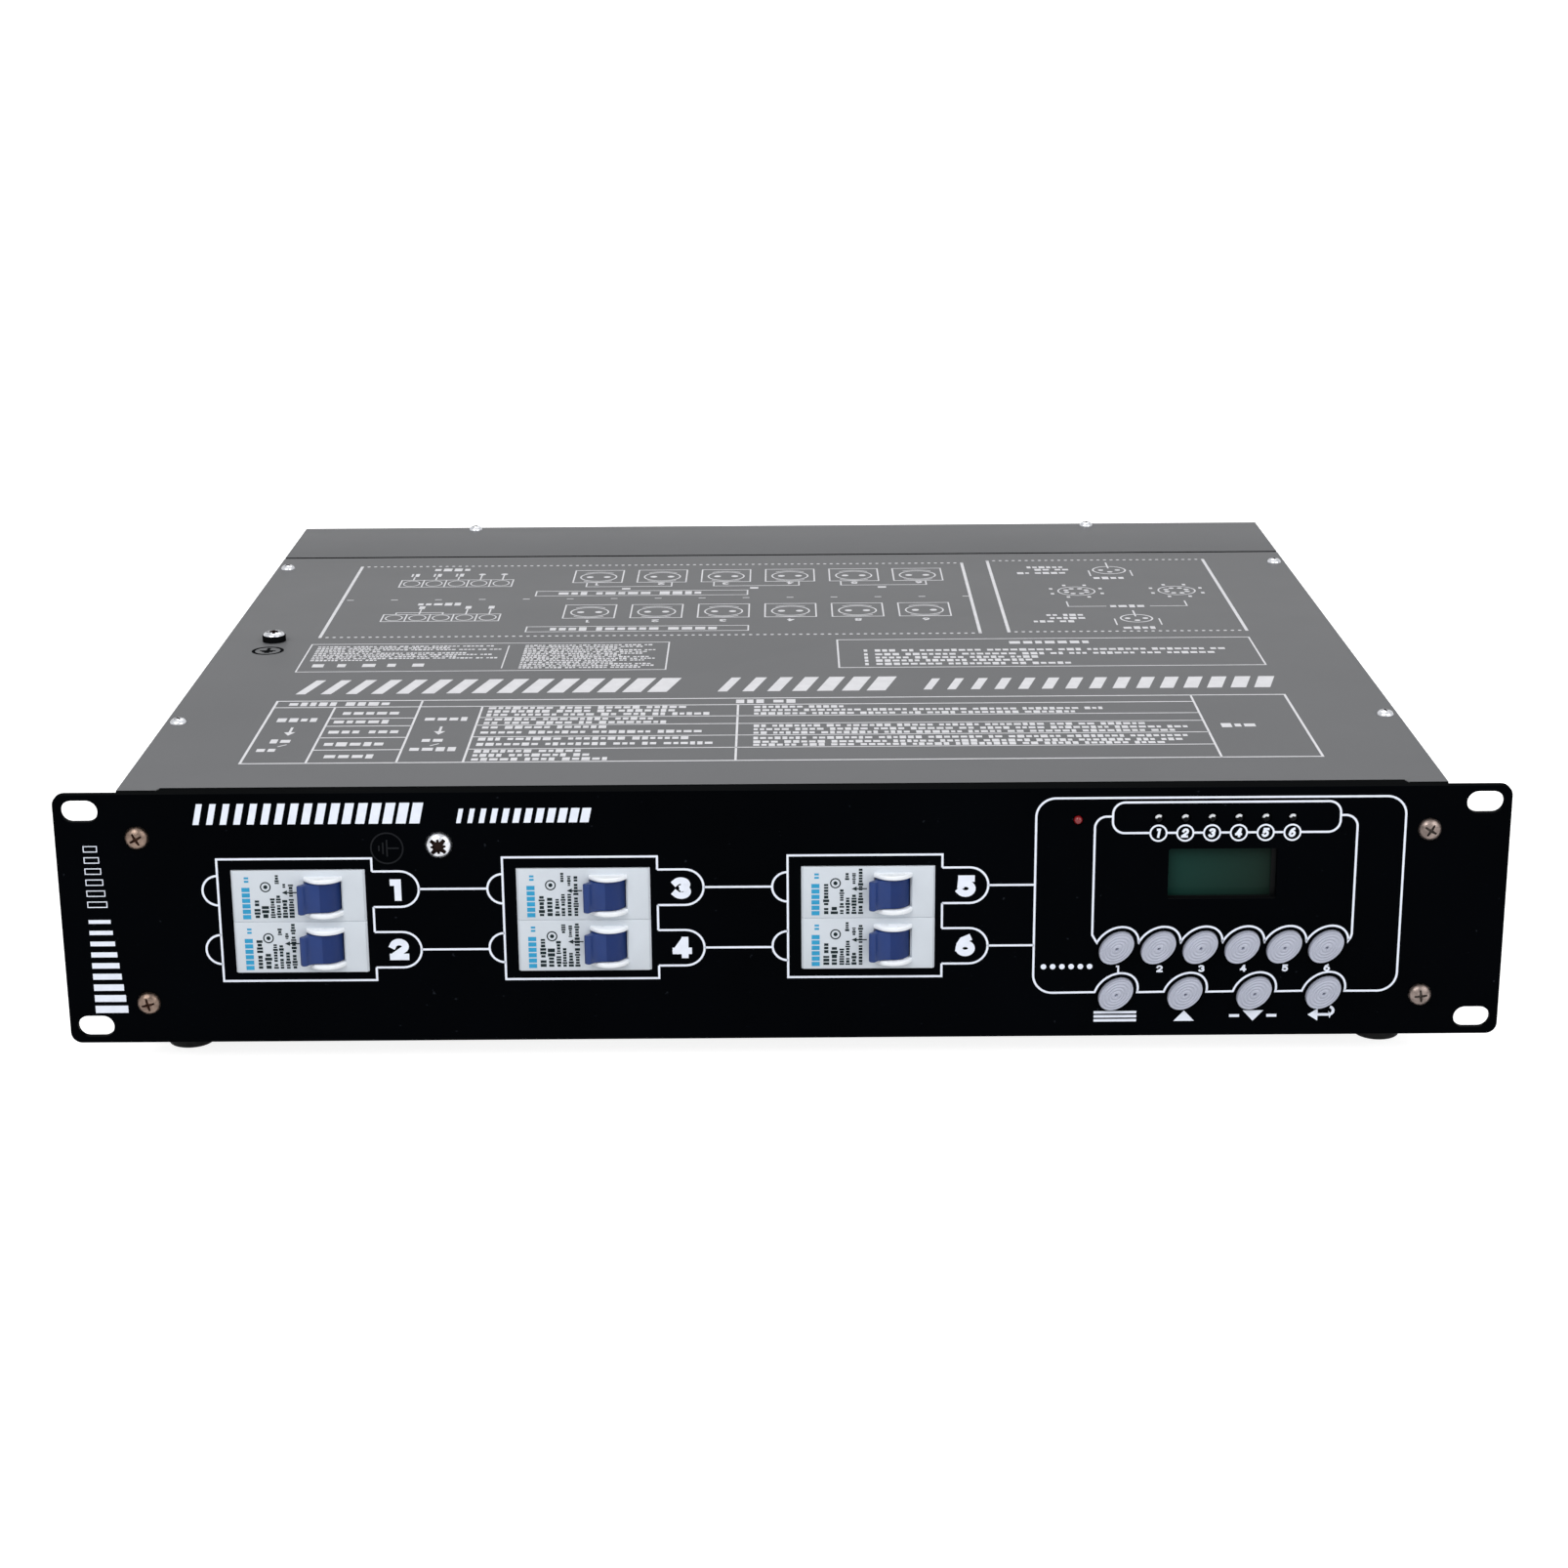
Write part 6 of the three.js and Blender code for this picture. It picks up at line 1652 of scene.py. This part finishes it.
def printBoxes(ink):
    # Boxes of small rows between the diagrams and the title. A column has its left side, its top
    # row, its rows and their right ends, which repeat
    settings = {"seed": 6, "box": (-185, -44.2, 152, 193.8, 0.6), "rule": (-107, 155.5, 190, 0.5),
                "columns": ((-182, 189.6, 9, (-112, -126, -109, -155, -118)),
                            (-100.5, 189.8, 14, (-47.5, -52, -60, -49))),
                "rowPitch": 2.6, "rowHeight": 1.9, "signs": (4.4, 3.2, 5, 3.2, 4.4), "signX": -180,
                "signPitch": 9.6, "signY": (158.8, 163.2), "list": (22, 184.5, 153, 195.5, 0.7),
                "listTitle": (89.5, 122, 189.5, 5.5), "point": (32, 33.4, 1.6), "pointX": 36.3,
                "points": ((178.3, 174.5), (172.5, 169.5), (167.5, 101.3), (163, 104.3), (158, 112)),
                "pointHeight": 3.5}
    generator = random.Random(settings["seed"])
    addFrame(ink, *settings["box"])
    x, bottom, top, width = settings["rule"]
    addLine(ink, [(x, bottom), (x, top)], width)
    for column, (left, top, rows, ends) in enumerate(settings["columns"]):
        for row in range(rows):
            y = top - settings["rowPitch"] * row
            addMarks(ink, left, ends[row % len(ends)], y, settings["rowHeight"], generator)
        if column == 0:
            for index, width in enumerate(settings["signs"]):
                x = settings["signX"] + index * settings["signPitch"]
                addBar(ink, x, x + width, *settings["signY"])
    addFrame(ink, *settings["list"])
    addMarks(ink, *settings["listTitle"], generator)
    left, right, half = settings["point"]
    for y, end in settings["points"]:
        addBar(ink, left, right, y - half, y + half)
        addMarks(ink, settings["pointX"], end, y, settings["pointHeight"], generator)


def printTable(ink):
    # A ruled table with rows of small blocks and two arrows. A row has its middle and its ends
    settings = {"seed": 9, "edges": (-185, 184.5, 31.5, 110.6), "edgeLine": 0.9, "header": 101.9,
                "line": 0.8, "thinLine": 0.7, "columns": (-162.6, -131.7, -108.9, -15.9, 150),
                "levels": (87, 77, 62.3, 47.2), "marks": 4.8,
                "names": ((106.2, -180, -143), (106.2, -16.7, 15), (93.6, -158.6, -135),
                          (82.4, -160.3, -134), (69.4, -160.3, -134), (54.2, -159.6, -135),
                          (39.3, -157.4, -139)),
                "shifts": (0, 53), "keys": ((85.3, -181, -165.5), (58.3, -179, -169), (47.4, -182, -165)),
                "arrowX": -174, "arrow": (75.7, 69, 0.9), "arrowHead": (2, 69.6, 65.4),
                "stroke": (1.4, 51.6, 54.2, 0.6), "middleX": -106.4, "middleMarks": 3.6,
                "middle": ((99.3, -30), (94.9, -33), (90.4, -25), (84.4, -42), (79.8, -35), (74, -59),
                           (67.6, -21), (59.4, -32), (52.9, -21), (44.5, -60), (39.6, -59),
                           (34.7, -57)),
                "rightX": -10, "rightMarks": 3.2,
                "right": ((98.6, 23), (94.2, 116), (89.8, 108), (73.8, 130), (69.4, 144), (65, 140),
                          (58.4, 142), (53.7, 140), (50, 134)),
                "last": (155.5, 178.5, 70.5, 5)}
    generator = random.Random(settings["seed"])
    left, right, near, far = settings["edges"]
    header, line, height = (settings[key] for key in ("header", "line", "marks"))
    first, second, third, _, last = settings["columns"]
    addFrame(ink, left, right, near, far, settings["edgeLine"])
    addLine(ink, [(left, header), (last, header)], line)
    for x in settings["columns"]:
        addLine(ink, [(x, near), (x, far if x in (second, last) else header)], line)
    for y in settings["levels"]:
        addLine(ink, [(first, y), (second, y)], line)
        addLine(ink, [(third, y), (last, y)], settings["thinLine"])
    for y, start, end in settings["names"]:
        addMarks(ink, start, end, y, height, generator)
    for shift in settings["shifts"]:
        for y, start, end in settings["keys"]:
            addMarks(ink, start + shift, end + shift, y, height, generator)
        x = settings["arrowX"] + shift
        top, bottom, width = settings["arrow"]
        addLine(ink, [(x, top), (x, bottom)], width)
        half, base, tip = settings["arrowHead"]
        addFace(ink, [(x - half, base), (x + half, base), (x, tip)])
        half, bottom, top, width = settings["stroke"]
        addLine(ink, [(x - half, bottom), (x + half, top)], width)
    for column in ("middle", "right"):
        for y, end in settings[column]:
            addMarks(ink, settings[column + "X"], end, y, settings[column + "Marks"], generator)
    addMarks(ink, *settings["last"], generator)


def lidPrints():
    # Places are from the lid's front edge, and read from behind
    settings = {"ramps": ((-180, 120, 19.5, 15, 9.3, 3.6, 7.2, 5), (-23.8, 120, 19.5, 7, 9.2, 3.6, 7, 5),
                          (52.5, 120.8, 15.5, 15, 8.75, 3.0, 6, 4)),
                "earthMark": (-201, 184.5, 5.6, 1.3)}
    ink = newInk()
    printWiring(ink)
    printBoxes(ink)
    printTable(ink)
    for values in settings["ramps"]:
        addRamp(ink, *values)
    low, high = boxOf("top_cover")
    finishInk(ink, "lid_print", greyInk, (0, low.y, high.z), still)
    mark = newInk()
    addEarthMark(mark, *settings["earthMark"])
    finishInk(mark, "lid_earth_mark", shadeInk, (0, low.y, high.z), still)


def rearPrints():
    settings = {"numberUp": 30.5, "number": (6, (3.2, 4.4), 1.2), "signal": (16, 18),
                "analog": (16, 12.5)}
    ink = newInk()
    for number, place in enumerate(outletPlaces):
        addNumber(ink, number + 1, -place.x, place.z + settings["numberUp"], *settings["number"])
    for kind, places in (("signal", signalPlaces), ("analog", analogPlaces)):
        for place in places:
            addFrame(ink, *around(-place.x, place.z, *settings[kind]))
    finishInk(ink, "rear_print", greyInk, (0, boxOf("rear_panel")[1].y, 0), fromBehind)


panelPrints()
breakerPrints()
lidPrints()
rearPrints()
print("prints made")


# Floor, light and background

def seenRays(tree):
    # 1 for what the camera, gloss and glass see
    path = addNode(tree, "ShaderNodeLightPath")
    seen = addNode(tree, "ShaderNodeMath", {0: path.outputs["Is Camera Ray"],
                                            1: path.outputs["Is Glossy Ray"]}, operation="MAXIMUM")
    return addNode(tree, "ShaderNodeMath", {0: seen.outputs[0],
                                            1: path.outputs["Is Transmission Ray"]},
                   operation="MAXIMUM").outputs[0]


def makeStage():
    settings = {"floorSize": 40, "floorColour": 0.62, "floorGlow": 0.86, "worldLight": 0.45,
                "aim": (0, 0, 0.05), "lamps": {"key": ((-0.9, -1.5, 1.6), 1.4, 26),
                                               "fill": ((1.3, -1.3, 1.1), 1.4, 14),
                                               "back": ((0.1, 1.2, 2.4), 1.6, 18)}}
    bpy.ops.object.select_all(action="DESELECT")
    bpy.ops.mesh.primitive_plane_add(size=settings["floorSize"])
    floor = bpy.context.object
    floor.name = "floor"
    material = bpy.data.materials.new("floor")
    material.use_nodes = True
    tree = material.node_tree
    tree.nodes.clear()
    output = addNode(tree, "ShaderNodeOutputMaterial")
    diffuse = addNode(tree, "ShaderNodeBsdfDiffuse", {"Color": (*[settings["floorColour"]] * 3, 1)})
    strength = addNode(tree, "ShaderNodeMath", {0: seenRays(tree), 1: settings["floorGlow"]},
                       operation="MULTIPLY")
    glow = addNode(tree, "ShaderNodeEmission", {"Color": (1, 1, 1, 1), "Strength": strength.outputs[0]})
    both = addNode(tree, "ShaderNodeAddShader", {0: diffuse.outputs[0], 1: glow.outputs[0]})
    tree.links.new(both.outputs[0], output.inputs["Surface"])
    floor.data.materials.append(material)
    world = bpy.data.worlds.new("world")
    scene.world = world
    world.use_nodes = True
    tree = world.node_tree
    tree.nodes.clear()
    output = addNode(tree, "ShaderNodeOutputWorld")
    strength = addNode(tree, "ShaderNodeMapRange", {
        "Value": seenRays(tree), "To Min": settings["worldLight"], "To Max": 1.0})
    background = addNode(tree, "ShaderNodeBackground", {
        "Color": (1, 1, 1, 1), "Strength": strength.outputs["Result"]})
    tree.links.new(background.outputs[0], output.inputs["Surface"])
    for name, (place, width, power) in settings["lamps"].items():
        light = bpy.data.lights.new(name, "AREA")
        light.size = width
        light.energy = power
        lamp = bpy.data.objects.new(name, light)
        lamp.location = place
        aim = Vector(settings["aim"]) - Vector(place)
        lamp.rotation_euler = aim.to_track_quat("-Z", "Y").to_euler()
        scene.collection.objects.link(lamp)


makeStage()
print("stage made")


# The CAD nodes that stay

stayMaterials = {
    "breaker_bracket": zinc, "heat_sink": aluminium, "control_board": boardGreen,
    "power_board": boardGreen, "transformer": lamination, "terminal_block": breakerWhite,
    "gland_nut": blackPlastic, "fan_frame": blackPlastic, "fan_rotor": blackPlastic,
}
for name, material in stayMaterials.items():
    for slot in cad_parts[name].material_slots:
        slot.material = material
